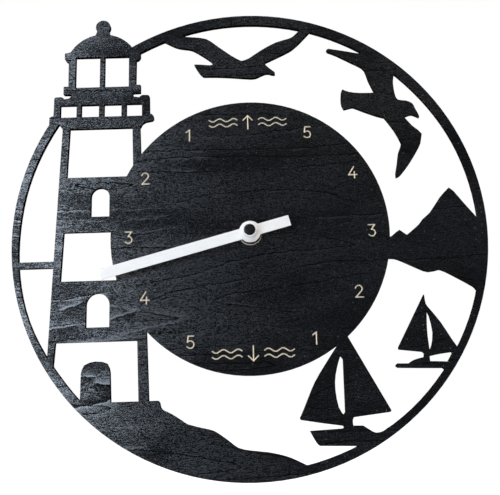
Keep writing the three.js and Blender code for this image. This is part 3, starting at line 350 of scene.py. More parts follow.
class VeneerFigure(EffectGroup):
    """Figure of rotary-cut veneer: ragged growth lines with a pale rim that is partly figure and partly
    painted sheen, ripples drawn as painted sheen and painted shade, fibres and flecks.
    """

    name = "veneer figure"
    inputs = {"Vector": ("NodeSocketVector", None)}
    outputs = {"Line": "NodeSocketFloat", "Rim": "NodeSocketFloat", "Fibre": "NodeSocketFloat",
               "Fleck": "NodeSocketFloat", "Cloud": "NodeSocketFloat", "RippleSheen": "NodeSocketFloat"}
    # waves, cells and lines are per metre, but swell_lines is how many lines the swell moves
    swell_waves = (3.6, 1, 30)
    swell_lines = 8.0
    lines_across = -3.0
    lines_up = 44.0
    least_lines = 16.0
    ragged_waves = (90, 1, 130)
    ragged_reach = 5 * MM
    step = 0.6 * MM
    line_width = 0.85 * MM
    line_core = 0.4
    gap_waves = (14, 1, 40)
    rim_width = 2.8 * MM
    swathe_waves = (20, 1, 34)
    strand_waves = (260, 60, 2300)
    strand_share = 0.34
    bundle_waves = (170, 60, 1150)
    bundle_share = 0.06
    grit_waves = (1200, 1500, 2700)
    grit_share = 0.6
    fibre_dark = 0.4
    fibre_pale = 0.58
    cloud_waves = (11, 1, 30)
    fleck_cells = 190.0
    fleck_share = 0.14
    ripple_width = 4.5 * MM
    ripple_fade = 3 * MM
    # width of the painted shade beside each ripple
    foot_shade_width = 9 * MM
    crest_width = 1.2 * MM
    crest_gain = 1.3
    slope_power = 1.6
    slope_gain = 0.8
    # each row draws a painted sheen along a ripple and a painted shade beside it; all of them lie on the left
    # of the plate
    ripples = (
        RippleSheen(-109, -85, -95, -86, 0.8),
        RippleSheen(-98, -89.5, -82, -90, 1.0),
        RippleSheen(-116, -105, -84, -99.5, 0.9, slope_below=True),
        RippleSheen(-98, -55, -70, -46, 0.6),
        RippleSheen(-120, -45, -104, -40, 0.5),
        RippleSheen(-116, -66, -62, -62, 0.35),
        RippleSheen(-82, -61, -38, -52.5, 0.3),
        RippleSheen(-94, -42, -38, -52, 0.2),
        RippleSheen(-127, -56.5, -105, -53.5, 0.4),
        RippleSheen(-80, 17, -38, 19.5, 0.13),
        RippleSheen(-80, 10.5, -50, 13, 0.14),
        RippleSheen(-80, 2, -40, 5, 0.1),
        RippleSheen(-86, -18, -60, -12.5, 0.12),
    )

    @classmethod
    def ragged(cls, wiring: Wiring, place: Value) -> Socket:
        """Moves coordinates up and down a little, so that lines drawn on them are ragged.

        Args:
            wiring: the group's nodes.
            place: coordinates.

        Returns:
            The moved coordinates' socket.
        """
        wander = wiring.waves(place, cls.ragged_waves, detail=5, rough=0.72)
        rise = wiring.math("MULTIPLY_ADD", wander, cls.ragged_reach, -cls.ragged_reach / 2)
        offset = wiring.add("ShaderNodeCombineXYZ", {2: rise}).outputs[0]
        return wiring.add("ShaderNodeVectorMath", {0: place, 1: offset}, operation="ADD").outputs[0]

    @classmethod
    def growth(cls, wiring: Wiring, place: Value) -> Socket:
        """Gives a height whose whole numbers are the growth lines.

        Args:
            wiring: the group's nodes.
            place: coordinates.

        Returns:
            The height's socket.
        """
        swell = wiring.waves(place, cls.swell_waves, detail=1)
        across, _, up = wiring.split(place)
        tilted = wiring.math("MULTIPLY_ADD", across, cls.lines_across, wiring.times(up, cls.lines_up))
        return wiring.math("MULTIPLY_ADD", swell, cls.swell_lines, tilted)

    @classmethod
    def lined(cls, wiring: Wiring, place: Value, bent: Value) -> tuple[Socket, Socket]:
        """Draws the growth lines at an even width, with gaps.

        Args:
            wiring: the group's nodes.
            place: coordinates.
            bent: ragged coordinates.

        Returns:
            How much of a line shows, and the distance to the next line.
        """
        height = cls.growth(wiring, bent)
        above = cls.growth(wiring, wiring.stretch(bent, (1, 1, 1), shift=(0, 0, cls.step)))
        rise = wiring.math("DIVIDE", wiring.math("SUBTRACT", above, height), cls.step)
        slope = wiring.math("MAXIMUM", wiring.math("ABSOLUTE", rise), cls.least_lines)
        phase = wiring.math("FRACT", height)
        past = wiring.math("DIVIDE", phase, slope)
        before = wiring.math("DIVIDE", wiring.math("SUBTRACT", 1.0, phase), slope)
        shown = wiring.span(wiring.waves(place, cls.gap_waves, detail=3), 0.38, 0.5)
        line = wiring.span(past, cls.line_core * cls.line_width, cls.line_width, 1.0, 0.0)
        return wiring.times(line, shown), before

    @classmethod
    def ripple_light(cls, wiring: Wiring, place: Value) -> tuple[Value, Value]:
        """Gives the strong ripples as painted light.

        Args:
            wiring: the group's nodes.
            place: coordinates.

        Returns:
            A painted sheen on the slope on one side of each ripple and a painted shade on the other.
        """
        across, _, up = wiring.split(place)
        painted_highlight: Value = 0.0
        painted_foot_shade: Value = 0.0
        crest_start = 1.0 - cls.crest_width / cls.ripple_width
        for ripple in cls.ripples:
            left, right = ripple.left * MM, ripple.right * MM
            level = wiring.span(across, left, right, ripple.left_height * MM, ripple.right_height * MM,
                                smooth=False)
            side = -1.0 if ripple.slope_below else 1.0
            rise = wiring.times(wiring.math("SUBTRACT", up, level), side)
            ends = wiring.times(wiring.span(across, left, left + cls.ripple_fade, 0.0, ripple.strength),
                                wiring.span(across, right - cls.ripple_fade, right, 1.0, 0.0))
            # painted sheen on the slope, strongest at the crest
            slope = wiring.times(wiring.span(rise, 0.0, cls.ripple_width, 1.0, 0.0, smooth=False),
                                 wiring.math("GREATER_THAN", rise, 0.0))
            # painted shade on the other side
            foot_shade = wiring.times(wiring.span(rise, -cls.foot_shade_width, 0.0), wiring.math("LESS_THAN", rise, 0.0))
            crest = wiring.span(slope, crest_start, 1.0, 0.0, cls.crest_gain, smooth=False)
            slope = wiring.math("POWER", slope, cls.slope_power)
            slope = wiring.math("MULTIPLY_ADD", slope, cls.slope_gain, crest)
            painted_highlight = wiring.math("MULTIPLY_ADD", slope, ends, painted_highlight)
            painted_foot_shade = wiring.math("MULTIPLY_ADD", foot_shade, ends, painted_foot_shade)
        return painted_highlight, painted_foot_shade

    @classmethod
    def fibres(cls, wiring: Wiring, place: Value) -> Socket:
        """Mixes strands, bundles of strands and grit.

        Args:
            wiring: the group's nodes.
            place: coordinates.

        Returns:
            The fibres' socket.
        """
        strand = wiring.waves(place, cls.strand_waves, detail=3, rough=0.7)
        bundle = wiring.waves(place, cls.bundle_waves, detail=2, rough=0.75)
        grit = wiring.waves(place, cls.grit_waves, detail=2, rough=0.75)
        fibre = wiring.math("MULTIPLY_ADD", strand, cls.strand_share, wiring.times(bundle, cls.bundle_share))
        return wiring.math("MULTIPLY_ADD", grit, cls.grit_share, fibre)

    @classmethod
    def flecks(cls, wiring: Wiring, place: Value) -> Socket:
        """Scatters small pale flecks over the sheet.

        Args:
            wiring: the group's nodes.
            place: coordinates.

        Returns:
            The flecks' socket.
        """
        across, _, up = wiring.split(place)
        sheet = wiring.add("ShaderNodeCombineXYZ", {0: across, 1: up}).outputs[0]
        sockets = {"Vector": sheet, "Scale": cls.fleck_cells}
        dust = wiring.add("ShaderNodeTexVoronoi", sockets, voronoi_dimensions="2D").outputs
        picked = wiring.math("GREATER_THAN", wiring.split(dust["Color"])[0], 1.0 - cls.fleck_share)
        return wiring.times(wiring.span(dust["Distance"], 0.03, 0.075, 1.0, 0.0), picked)

    @classmethod
    def wire(cls, wiring: Wiring, given: Any, result: Any) -> None:
        """Wires lines together with the ripples' painted shade, rims that are partly painted sheen, fibres,
        flecks, clouds and the ripples' painted sheen.

        Args:
            wiring: the group's nodes.
            given: sockets of the group's inputs.
            result: sockets of the group's outputs.
        """
        place = given["Vector"]
        bent = cls.ragged(wiring, place)
        line, before = cls.lined(wiring, place, bent)
        painted_highlight, painted_foot_shade = cls.ripple_light(wiring, bent)
        # the ripples' painted shade is drawn like the growth lines
        line = wiring.math("MINIMUM", wiring.math("MAXIMUM", line, painted_foot_shade), 1.0)
        fibre = cls.fibres(wiring, place)
        swathe = wiring.span(wiring.waves(place, cls.swathe_waves), 0.47, 0.6)
        # pale rim beside each line, partly figure and partly painted sheen
        rim = wiring.span(before, 0.0, cls.rim_width, 1.0, 0.0, smooth=False)
        rim = wiring.times(rim, swathe, wiring.span(fibre, cls.fibre_dark, cls.fibre_pale, 0.1, 1.3))
        # the ripples' painted sheen, broken up by the fibres
        ripple = wiring.times(painted_highlight, wiring.span(fibre, cls.fibre_dark, cls.fibre_pale, 0.35, 1.2))
        cloud = wiring.waves(place, cls.cloud_waves, detail=2.5, rough=0.55)
        fleck = cls.flecks(wiring, place)
        for title, socket in zip(cls.outputs, (line, rim, fibre, fleck, cloud, ripple)):
            wiring.feed(result[title], socket)


class MouldGrain(EffectGroup):
    """Fine spark-eroded texture of a moulded part, with faint handling marks."""

    name = "mould grain"
    inputs = {"Vector": ("NodeSocketVector", None), "Grain": ("NodeSocketFloat", 2500.0)}
    outputs = {"Height": "NodeSocketFloat", "Marks": "NodeSocketFloat"}
    mark_waves = (90, 140, 220)

    @classmethod
    def wire(cls, wiring: Wiring, given: Any, result: Any) -> None:
        """Wires the grain's height and the marks.

        Args:
            wiring: the group's nodes.
            given: sockets of the group's inputs.
            result: sockets of the group's outputs.
        """
        place = given["Vector"]
        wiring.feed(result["Height"], wiring.noise(place, given["Grain"], detail=3, rough=0.6))
        smear = wiring.noise(wiring.stretch(place, cls.mark_waves), detail=4, rough=0.62, distortion=0.4)
        wiring.feed(result["Marks"], wiring.span(smear, 0.4, 0.72))


class TurnedStreaks(EffectGroup):
    """Fine lines left by turning, stamping or drawing a metal, along one direction."""

    name = "turned streaks"
    inputs = {"Vector": ("NodeSocketVector", None)}
    outputs = {"Streak": "NodeSocketFloat", "Tarnish": "NodeSocketFloat"}
    streak_waves = (300, 6000, 300)
    tarnish_waves = (160, 160, 160)

    @classmethod
    def wire(cls, wiring: Wiring, given: Any, result: Any) -> None:
        """Wires the streaks and the tarnish.

        Args:
            wiring: the group's nodes.
            given: sockets of the group's inputs.
            result: sockets of the group's outputs.
        """
        place = given["Vector"]
        wiring.feed(result["Streak"], wiring.waves(place, cls.streak_waves, detail=3, rough=0.6))
        patches = wiring.waves(place, cls.tarnish_waves, detail=4, rough=0.6)
        wiring.feed(result["Tarnish"], wiring.span(patches, 0.45, 0.75))


@dataclass(frozen=True)
class Finish:
    """A finish, which makes its material once."""

    title: str

    def material(self) -> bpy.types.Material:
        """Gives the finish's material, and builds it the first time.

        Returns:
            The material.
        """
        found = bpy.data.materials.get(self.title)
        if found:
            return found
        made = bpy.data.materials.new(self.title)
        wiring = Wiring.fresh(made)
        shader = wiring.add("ShaderNodeBsdfPrincipled")
        output = wiring.add("ShaderNodeOutputMaterial")
        wiring.feed(output.inputs["Surface"], shader.outputs[0])
        places = wiring.add("ShaderNodeTexCoord").outputs
        self.wire(wiring, shader.inputs, places)
        return made

    def wire(self, wiring: Wiring, shader: Any, places: Any) -> None:
        """Wires the shader's inputs. Each finish has its own.

        Args:
            wiring: the material's nodes.
            shader: input sockets of the shader.
            places: coordinate sockets.
        """
        raise NotImplementedError


@dataclass(frozen=True)
class StainedPlywood(Finish):
    """Black-stained three-ply: satin faces with figure and some painted sheen and shade, charred cut walls
    with painted light on those that face left, and bare engraved floors.
    """

    front: float
    thickness: float
    stain_dark: Colour = (0.0054, 0.0056, 0.0062)
    stain_pale: Colour = (0.009, 0.0095, 0.0113)
    # pale rims beside the growth lines, partly figure and partly painted sheen
    rim_sheen_colour: Colour = (0.0175, 0.0195, 0.0225)
    rim_sheen_share: float = 0.2
    # painted sheen of the ripples
    ripple_sheen_colour: Colour = (0.075, 0.085, 0.1)
    ripple_sheen_share: float = 0.8
    # growth lines, and the ripples' painted shade
    line_and_foot_shade_colour: Colour = (0.0034, 0.0035, 0.0037)
    line_and_foot_shade_share: float = 0.9
    fleck_colour: Colour = (0.22, 0.22, 0.21)
    fleck_share: float = 0.5
    tone_power: float = 3.3
    char_dark: Colour = (0.0022, 0.0018, 0.0016)
    # brown char, painted as light on the walls that face left
    char_brown_painted_lit: Colour = (0.16, 0.09, 0.056)
    soot_waves: Triple = (420, 300, 420)
    brown_start: float = 0.6
    brown_end: float = 0.92
    # share of the brown on walls that face right, kept low as painted shade
    brown_in_painted_shade: float = 0.1
    bare_wood: Colour = (0.9, 0.74, 0.53)
    scorched: Colour = (0.24, 0.12, 0.05)
    scorch_share: float = 0.4
    scorch_waves: Triple = (700, 700, 700)
    engraved_depth: float = 0.35 * MM
    relief: float = 0.1 * MM
    line_relief: float = -0.4
    gloss_least: float = 0.02
    tone_gloss: float = 1.05
    ripple_gloss: float = 1.5
    rim_gloss: float = 1.5
    rear_gloss: float = 0.4
    coat_rough: float = 0.265
    coat_ior: float = 2.3

    def face(self, wiring: Wiring, veneer: Any, tone: Value) -> Socket:
        """Colours the stained faces, with painted sheen on rims and ripples and painted shade beside the
        ripples.

        Args:
            wiring: the material's nodes.
            veneer: output sockets of the veneer's figure.
            tone: how pale the stain is.

        Returns:
            The faces' colour socket.
        """
        colour = wiring.mix(tone, self.stain_dark, self.stain_pale)
        # painted sheen on rims and ripples, then the lines with the ripples' painted shade
        colour = wiring.mix(wiring.times(veneer["Rim"], self.rim_sheen_share), colour, self.rim_sheen_colour)
        colour = wiring.mix(wiring.times(veneer["RippleSheen"], self.ripple_sheen_share), colour, self.ripple_sheen_colour)
        colour = wiring.mix(wiring.times(veneer["Line"], self.line_and_foot_shade_share), colour, self.line_and_foot_shade_colour)
        return wiring.mix(wiring.times(veneer["Fleck"], self.fleck_share), colour, self.fleck_colour)

    def wall(self, wiring: Wiring, places: Any) -> Socket:
        """Colours the cut walls, black with brown at the rear of those that face left; the brown there is
        painted light, and the walls that face right keep little of it as painted shade.

        Args:
            wiring: the material's nodes.
            places: coordinate sockets.

        Returns:
            The walls' colour socket.
        """
        depth = wiring.split(places["Object"])[1]
        aside = wiring.split(places["Normal"])[0]
        soot = wiring.waves(places["Object"], self.soot_waves, detail=4, rough=0.65)
        rear = wiring.span(depth, self.front + self.brown_start * self.thickness,
                           self.front + self.brown_end * self.thickness)
        # brown toward the rear of the walls, painted as light where they face left and held back as painted
        # shade where they face right
        brown = wiring.times(wiring.span(soot, 0.3, 0.6, 0.25, 1.0), rear,
                             wiring.span(aside, -0.7, 0.1, 1.0, self.brown_in_painted_shade))
        return wiring.mix(brown, self.char_dark, self.char_brown_painted_lit)

    def floor(self, wiring: Wiring, place: Value) -> Socket:
        """Colours the engraved floors, bare wood with some scorching.

        Args:
            wiring: the material's nodes.
            place: coordinates.

        Returns:
            The floors' colour socket.
        """
        singe = wiring.span(wiring.waves(place, self.scorch_waves, detail=3), 0.5, 0.8)
        return wiring.mix(wiring.times(singe, self.scorch_share), self.bare_wood, self.scorched)

    def gloss(self, wiring: Wiring, veneer: Any, tone: Value) -> Socket:
        """Gives the satin gloss, which follows the figure.

        Args:
            wiring: the material's nodes.
            veneer: output sockets of the veneer's figure.
            tone: how pale the stain is.

        Returns:
            The gloss's socket.
        """
        gloss = wiring.math("MULTIPLY_ADD", veneer["RippleSheen"], self.ripple_gloss, self.gloss_least)
        gloss = wiring.math("MULTIPLY_ADD", tone, self.tone_gloss, gloss)
        gloss = wiring.math("MULTIPLY_ADD", wiring.times(veneer["Rim"], veneer["Rim"]), self.rim_gloss, gloss)
        return wiring.times(gloss, wiring.math("SUBTRACT", 1.0, veneer["Line"]))

    def wire(self, wiring: Wiring, shader: Any, places: Any) -> None:
        """Wires face, cut wall and engraved floor, each picked by normal and depth.

        Args:
            wiring: the material's nodes.
            shader: input sockets of the shader.
            places: coordinate sockets.
        """
        place = places["Object"]
        depth = wiring.split(place)[1]
        lean = wiring.split(places["Normal"])[1]
        veneer = VeneerFigure.place(wiring, Vector=place)
        tone = wiring.span(veneer["Fibre"], 0.41, 0.6, smooth=False)
        tone = wiring.times(wiring.math("POWER", tone, self.tone_power),
                            wiring.span(veneer["Cloud"], 0.37, 0.62, 0.6, 3.1))
        flat = wiring.span(wiring.math("ABSOLUTE", lean), 0.55, 0.9)
        colour = wiring.mix(flat, self.wall(wiring, places), self.face(wiring, veneer, tone))
        below_front = wiring.math("GREATER_THAN", depth, self.front + 0.4 * self.engraved_depth)
        above_core = wiring.math("LESS_THAN", depth, self.front + 1.6 * self.engraved_depth)
        engraved = wiring.times(below_front, above_core, flat)
        wiring.feed(shader["Base Color"], wiring.mix(engraved, colour, self.floor(wiring, place)))
        wiring.feed(shader["Roughness"], wiring.span(veneer["Fibre"], 0.3, 0.7, 0.8, 0.6))
        height = wiring.math("MULTIPLY_ADD", veneer["Line"], self.line_relief, veneer["Fibre"])
        wiring.feed(shader["Normal"], wiring.bump(height, 0.25, self.relief))
        covered = wiring.times(flat, wiring.math("SUBTRACT", 1.0, engraved),
                               wiring.span(lean, -0.5, 0.5, 1.0, self.rear_gloss))
        coat = wiring.times(self.gloss(wiring, veneer, tone), covered)
        wiring.feed(shader["Coat Weight"], wiring.math("MINIMUM", coat, 1.0))
        shader["Coat Roughness"].default_value = self.coat_rough
        shader["Coat IOR"].default_value = self.coat_ior
        shader["Specular IOR Level"].default_value = 0.0


@dataclass(frozen=True)
class WhiteLacquer(Finish):
    """White stove lacquer on thin metal, with a faint orange peel."""

    white: Colour = (0.88, 0.845, 0.805)
    shade: Colour = (0.8, 0.77, 0.73)
    shade_share: float = 0.5
    peel: float = 1100.0
    peel_depth: float = 0.06 * MM

    def wire(self, wiring: Wiring, shader: Any, places: Any) -> None:
        """Wires the lacquer's tone, gloss and peel.

        Args:
            wiring: the material's nodes.
            shader: input sockets of the shader.
            places: coordinate sockets.
        """
        grain = MouldGrain.place(wiring, Vector=places["Object"], Grain=self.peel)
        share = wiring.times(grain["Marks"], self.shade_share)
        wiring.feed(shader["Base Color"], wiring.mix(share, self.white, self.shade))
        wiring.feed(shader["Roughness"], wiring.span(grain["Marks"], 0.0, 1.0, 0.34, 0.46))
        wiring.feed(shader["Normal"], wiring.bump(grain["Height"], 0.12, self.peel_depth))


@dataclass(frozen=True)
class MouldedPlastic(Finish):
    """A moulded plastic or rubber with a fine texture."""

    colour: Colour
    worn: Colour
    rough: float
    grain: float
    relief: float
    grain_depth: float = 0.08 * MM
    polish: float = 0.12

    def wire(self, wiring: Wiring, shader: Any, places: Any) -> None:
        """Wires the texture, the handling marks and their gloss.

        Args:
            wiring: the material's nodes.
            shader: input sockets of the shader.
            places: coordinate sockets.
        """
        grain = MouldGrain.place(wiring, Vector=places["Object"], Grain=self.grain)
        share = wiring.math("MULTIPLY_ADD", grain["Height"], 0.35, wiring.times(grain["Marks"], 0.4))
        wiring.feed(shader["Base Color"], wiring.mix(share, self.colour, self.worn))
        handled = self.rough - self.polish
        wiring.feed(shader["Roughness"], wiring.span(grain["Marks"], 0.0, 1.0, self.rough, handled))
        wiring.feed(shader["Normal"], wiring.bump(grain["Height"], self.relief, self.grain_depth))


@dataclass(frozen=True)
class WorkedMetal(Finish):
    """A plated, turned or stamped metal with fine lines and a little tarnish."""

    colour: Colour
    tarnish: Colour
    rough: float
    streak_rough: float = 0.16
    streak_depth: float = 0.03 * MM
    tarnish_share: float = 0.6

    def wire(self, wiring: Wiring, shader: Any, places: Any) -> None:
        """Wires the lines and the tarnish.

        Args:
            wiring: the material's nodes.
            shader: input sockets of the shader.
            places: coordinate sockets.
        """
        lines = TurnedStreaks.place(wiring, Vector=places["Object"])
        share = wiring.times(lines["Tarnish"], self.tarnish_share)
        wiring.feed(shader["Base Color"], wiring.mix(share, self.colour, self.tarnish))
        dull = self.rough + self.streak_rough
        wiring.feed(shader["Roughness"], wiring.span(lines["Streak"], 0.3, 0.7, self.rough, dull))
        wiring.feed(shader["Normal"], wiring.bump(lines["Streak"], 0.1, self.streak_depth))
        shader["Metallic"].default_value = 1.0


@dataclass(frozen=True)
class PaintedShadeAndEdgeHighlight(Finish):
    """Nickel with tarnish, a painted shade over its flat face and a painted highlight round its outer edge,
    on a turned ring.
    """

    radius: float
    edge_highlight_width: float = 0.5 * MM
    edge_highlight_fade: float = 0.2 * MM
    # the first colour is the painted highlight round the outer edge, the second the painted shade over the
    # flat, the third tarnish within that shade
    painted_highlight: Colour = (0.93, 0.88, 0.78)
    dull: Colour = (0.07, 0.06, 0.045)
    stained: Colour = (0.035, 0.03, 0.0225)
    streak_depth: float = 0.03 * MM

    def wire(self, wiring: Wiring, shader: Any, places: Any) -> None:
        """Wires the painted highlight round the outer edge and the painted shade over the flat, by the
        distance from the ring's axis.

        Args:
            wiring: the material's nodes.
            shader: input sockets of the shader.
            places: coordinate sockets.
        """
        across, _, up = wiring.split(places["Object"])
        square = wiring.math("MULTIPLY_ADD", across, across, wiring.times(up, up))
        reach = wiring.math("SQRT", square)
        lines = TurnedStreaks.place(wiring, Vector=places["Object"])
        edge_highlight_start = self.radius - self.edge_highlight_width
        # the outer edge takes the painted highlight, the flat inside it the painted shade
        worn = wiring.span(reach, edge_highlight_start, edge_highlight_start + self.edge_highlight_fade)
        # painted shade over the flat, with tarnish
        dull = wiring.mix(lines["Tarnish"], self.dull, self.stained)
        wiring.feed(shader["Base Color"], wiring.mix(worn, dull, self.painted_highlight))
        wiring.feed(shader["Roughness"], wiring.span(worn, 0.0, 1.0, 0.36, 0.22))
        wiring.feed(shader["Normal"], wiring.bump(lines["Streak"], 0.1, self.streak_depth))
        shader["Metallic"].default_value = 1.0


@dataclass(frozen=True)
class CellSleeve(Finish):
    """A plain printed sleeve with a band at the positive end and bare metal ends."""

    low: float
    high: float
    sleeve: Colour = (0.018, 0.05, 0.055)
    band: Colour = (0.5, 0.34, 0.09)
    band_start: float = 0.74
    metal: Colour = (0.56, 0.55, 0.52)
    bare_rear: float = 0.35 * MM
    bare_front: float = 1.45 * MM
    dust: Colour = (0.05, 0.05, 0.05)
    dust_share: float = 0.06
    streak_depth: float = 0.03 * MM

    def wire(self, wiring: Wiring, shader: Any, places: Any) -> None:
        """Wires sleeve, band and metal along the cell.

        Args:
            wiring: the material's nodes.
            shader: input sockets of the shader.
            places: coordinate sockets.
        """
        along = wiring.split(places["Object"])[0]
        lines = TurnedStreaks.place(wiring, Vector=places["Object"])
        band_low = self.low + self.band_start * (self.high - self.low)
        sleeve = wiring.mix(wiring.math("GREATER_THAN", along, band_low), self.sleeve, self.band)
        sleeve = wiring.mix(wiring.times(lines["Tarnish"], self.dust_share), sleeve, self.dust)
        bare = wiring.math("MAXIMUM", wiring.math("LESS_THAN", along, self.low + self.bare_rear),
                           wiring.math("GREATER_THAN", along, self.high - self.bare_front))
        wiring.feed(shader["Base Color"], wiring.mix(bare, sleeve, self.metal))
        wiring.feed(shader["Metallic"], bare)
        wiring.feed(shader["Roughness"], wiring.span(lines["Tarnish"], 0.0, 1.0, 0.24, 0.36))
        wiring.feed(shader["Normal"], wiring.bump(lines["Streak"], 0.05, self.streak_depth))


@dataclass(frozen=True)
class CopperWinding(Finish):
    """Enamelled copper wire laid in close turns along z."""

    colour: Colour = (0.42, 0.13, 0.04)
    shadow: Colour = (0.09, 0.022, 0.008)
    pitch: float = 0.22 * MM
    ridge_height: float = 0.08 * MM

    def wire(self, wiring: Wiring, shader: Any, places: Any) -> None:
        """Wires the turns as ridges.

        Args:
            wiring: the material's nodes.
            shader: input sockets of the shader.
            places: coordinate sockets.
        """
        along = wiring.split(places["Object"])[2]
        wave = wiring.math("SINE", wiring.times(along, 2 * math.pi / self.pitch))
        ridge = wiring.span(wave, -1.0, 0.6)
        wiring.feed(shader["Base Color"], wiring.mix(ridge, self.shadow, self.colour))
        wiring.feed(shader["Roughness"], wiring.span(wave, -1.0, 1.0, 0.5, 0.3))
        wiring.feed(shader["Normal"], wiring.bump(ridge, 0.8, self.ridge_height))
        shader["Metallic"].default_value = 0.85


@dataclass(frozen=True)
class BoardLaminate(Finish):
    """Green solder mask over a few copper tracks."""

    mask: Colour = (0.012, 0.075, 0.026)
    track: Colour = (0.03, 0.16, 0.05)
    track_rows: float = 420.0
    track_width: float = 0.07
    track_height: float = 0.03 * MM
    mask_grain: float = 4000.0

    def wire(self, wiring: Wiring, shader: Any, places: Any) -> None:
        """Wires the tracks under the mask.

        Args:
            wiring: the material's nodes.
            shader: input sockets of the shader.
            places: coordinate sockets.
        """
        sheet = wiring.stretch(places["Object"], (1, 1, 1), turn=(math.pi / 2, 0, 0))
        sockets = {"Vector": sheet, "Scale": self.track_rows, "Mortar Size": self.track_width}
        tracks = wiring.add("ShaderNodeTexBrick", sockets).outputs["Fac"]
        grain = MouldGrain.place(wiring, Vector=places["Object"], Grain=self.mask_grain)
        wiring.feed(shader["Base Color"], wiring.mix(tracks, self.mask, self.track))
        wiring.feed(shader["Roughness"], wiring.span(grain["Marks"], 0.0, 1.0, 0.3, 0.45))
        wiring.feed(shader["Normal"], wiring.bump(tracks, 0.3, self.track_height))


BLACK_PLASTIC = MouldedPlastic("black plastic", colour=(0.005, 0.005, 0.0055), worn=(0.01, 0.01, 0.011),
                               rough=0.3, grain=3000.0, relief=0.1)
CASE_PLASTIC = MouldedPlastic("case plastic", colour=(0.011, 0.0115, 0.012), worn=(0.022, 0.0225, 0.023),
                              rough=0.58, grain=2200.0, relief=0.5)
KNOB_PLASTIC = MouldedPlastic("knob plastic", colour=(0.024, 0.025, 0.027), worn=(0.045, 0.046, 0.048),
                              rough=0.45, grain=2600.0, relief=0.25)
ACETAL = MouldedPlastic("gear acetal", colour=(0.74, 0.71, 0.62), worn=(0.66, 0.63, 0.54),
                        rough=0.42, grain=1800.0, relief=0.12)
RUBBER = MouldedPlastic("gasket rubber", colour=(0.011, 0.011, 0.011), worn=(0.02, 0.02, 0.02),
                        rough=0.8, grain=3500.0, relief=0.35)
EPOXY = MouldedPlastic("epoxy blob", colour=(0.004, 0.004, 0.004), worn=(0.009, 0.009, 0.009),
                       rough=0.3, grain=900.0, relief=0.2)
FERRITE = MouldedPlastic("ferrite", colour=(0.028, 0.028, 0.03), worn=(0.05, 0.05, 0.052),
                         rough=0.5, grain=4000.0, relief=0.4)
NICKEL = WorkedMetal("nickel", colour=(0.62, 0.6, 0.55), tarnish=(0.42, 0.39, 0.33), rough=0.2)
BRASS = WorkedMetal("turned brass", colour=(0.6, 0.42, 0.16), tarnish=(0.36, 0.22, 0.08), rough=0.24)
SPRING_STEEL = WorkedMetal("spring strip", colour=(0.55, 0.55, 0.54), tarnish=(0.4, 0.39, 0.36), rough=0.26)
SOFT_IRON = WorkedMetal("soft iron", colour=(0.3, 0.3, 0.31), tarnish=(0.19, 0.18, 0.17), rough=0.38)
LACQUER = WhiteLacquer("white lacquer")


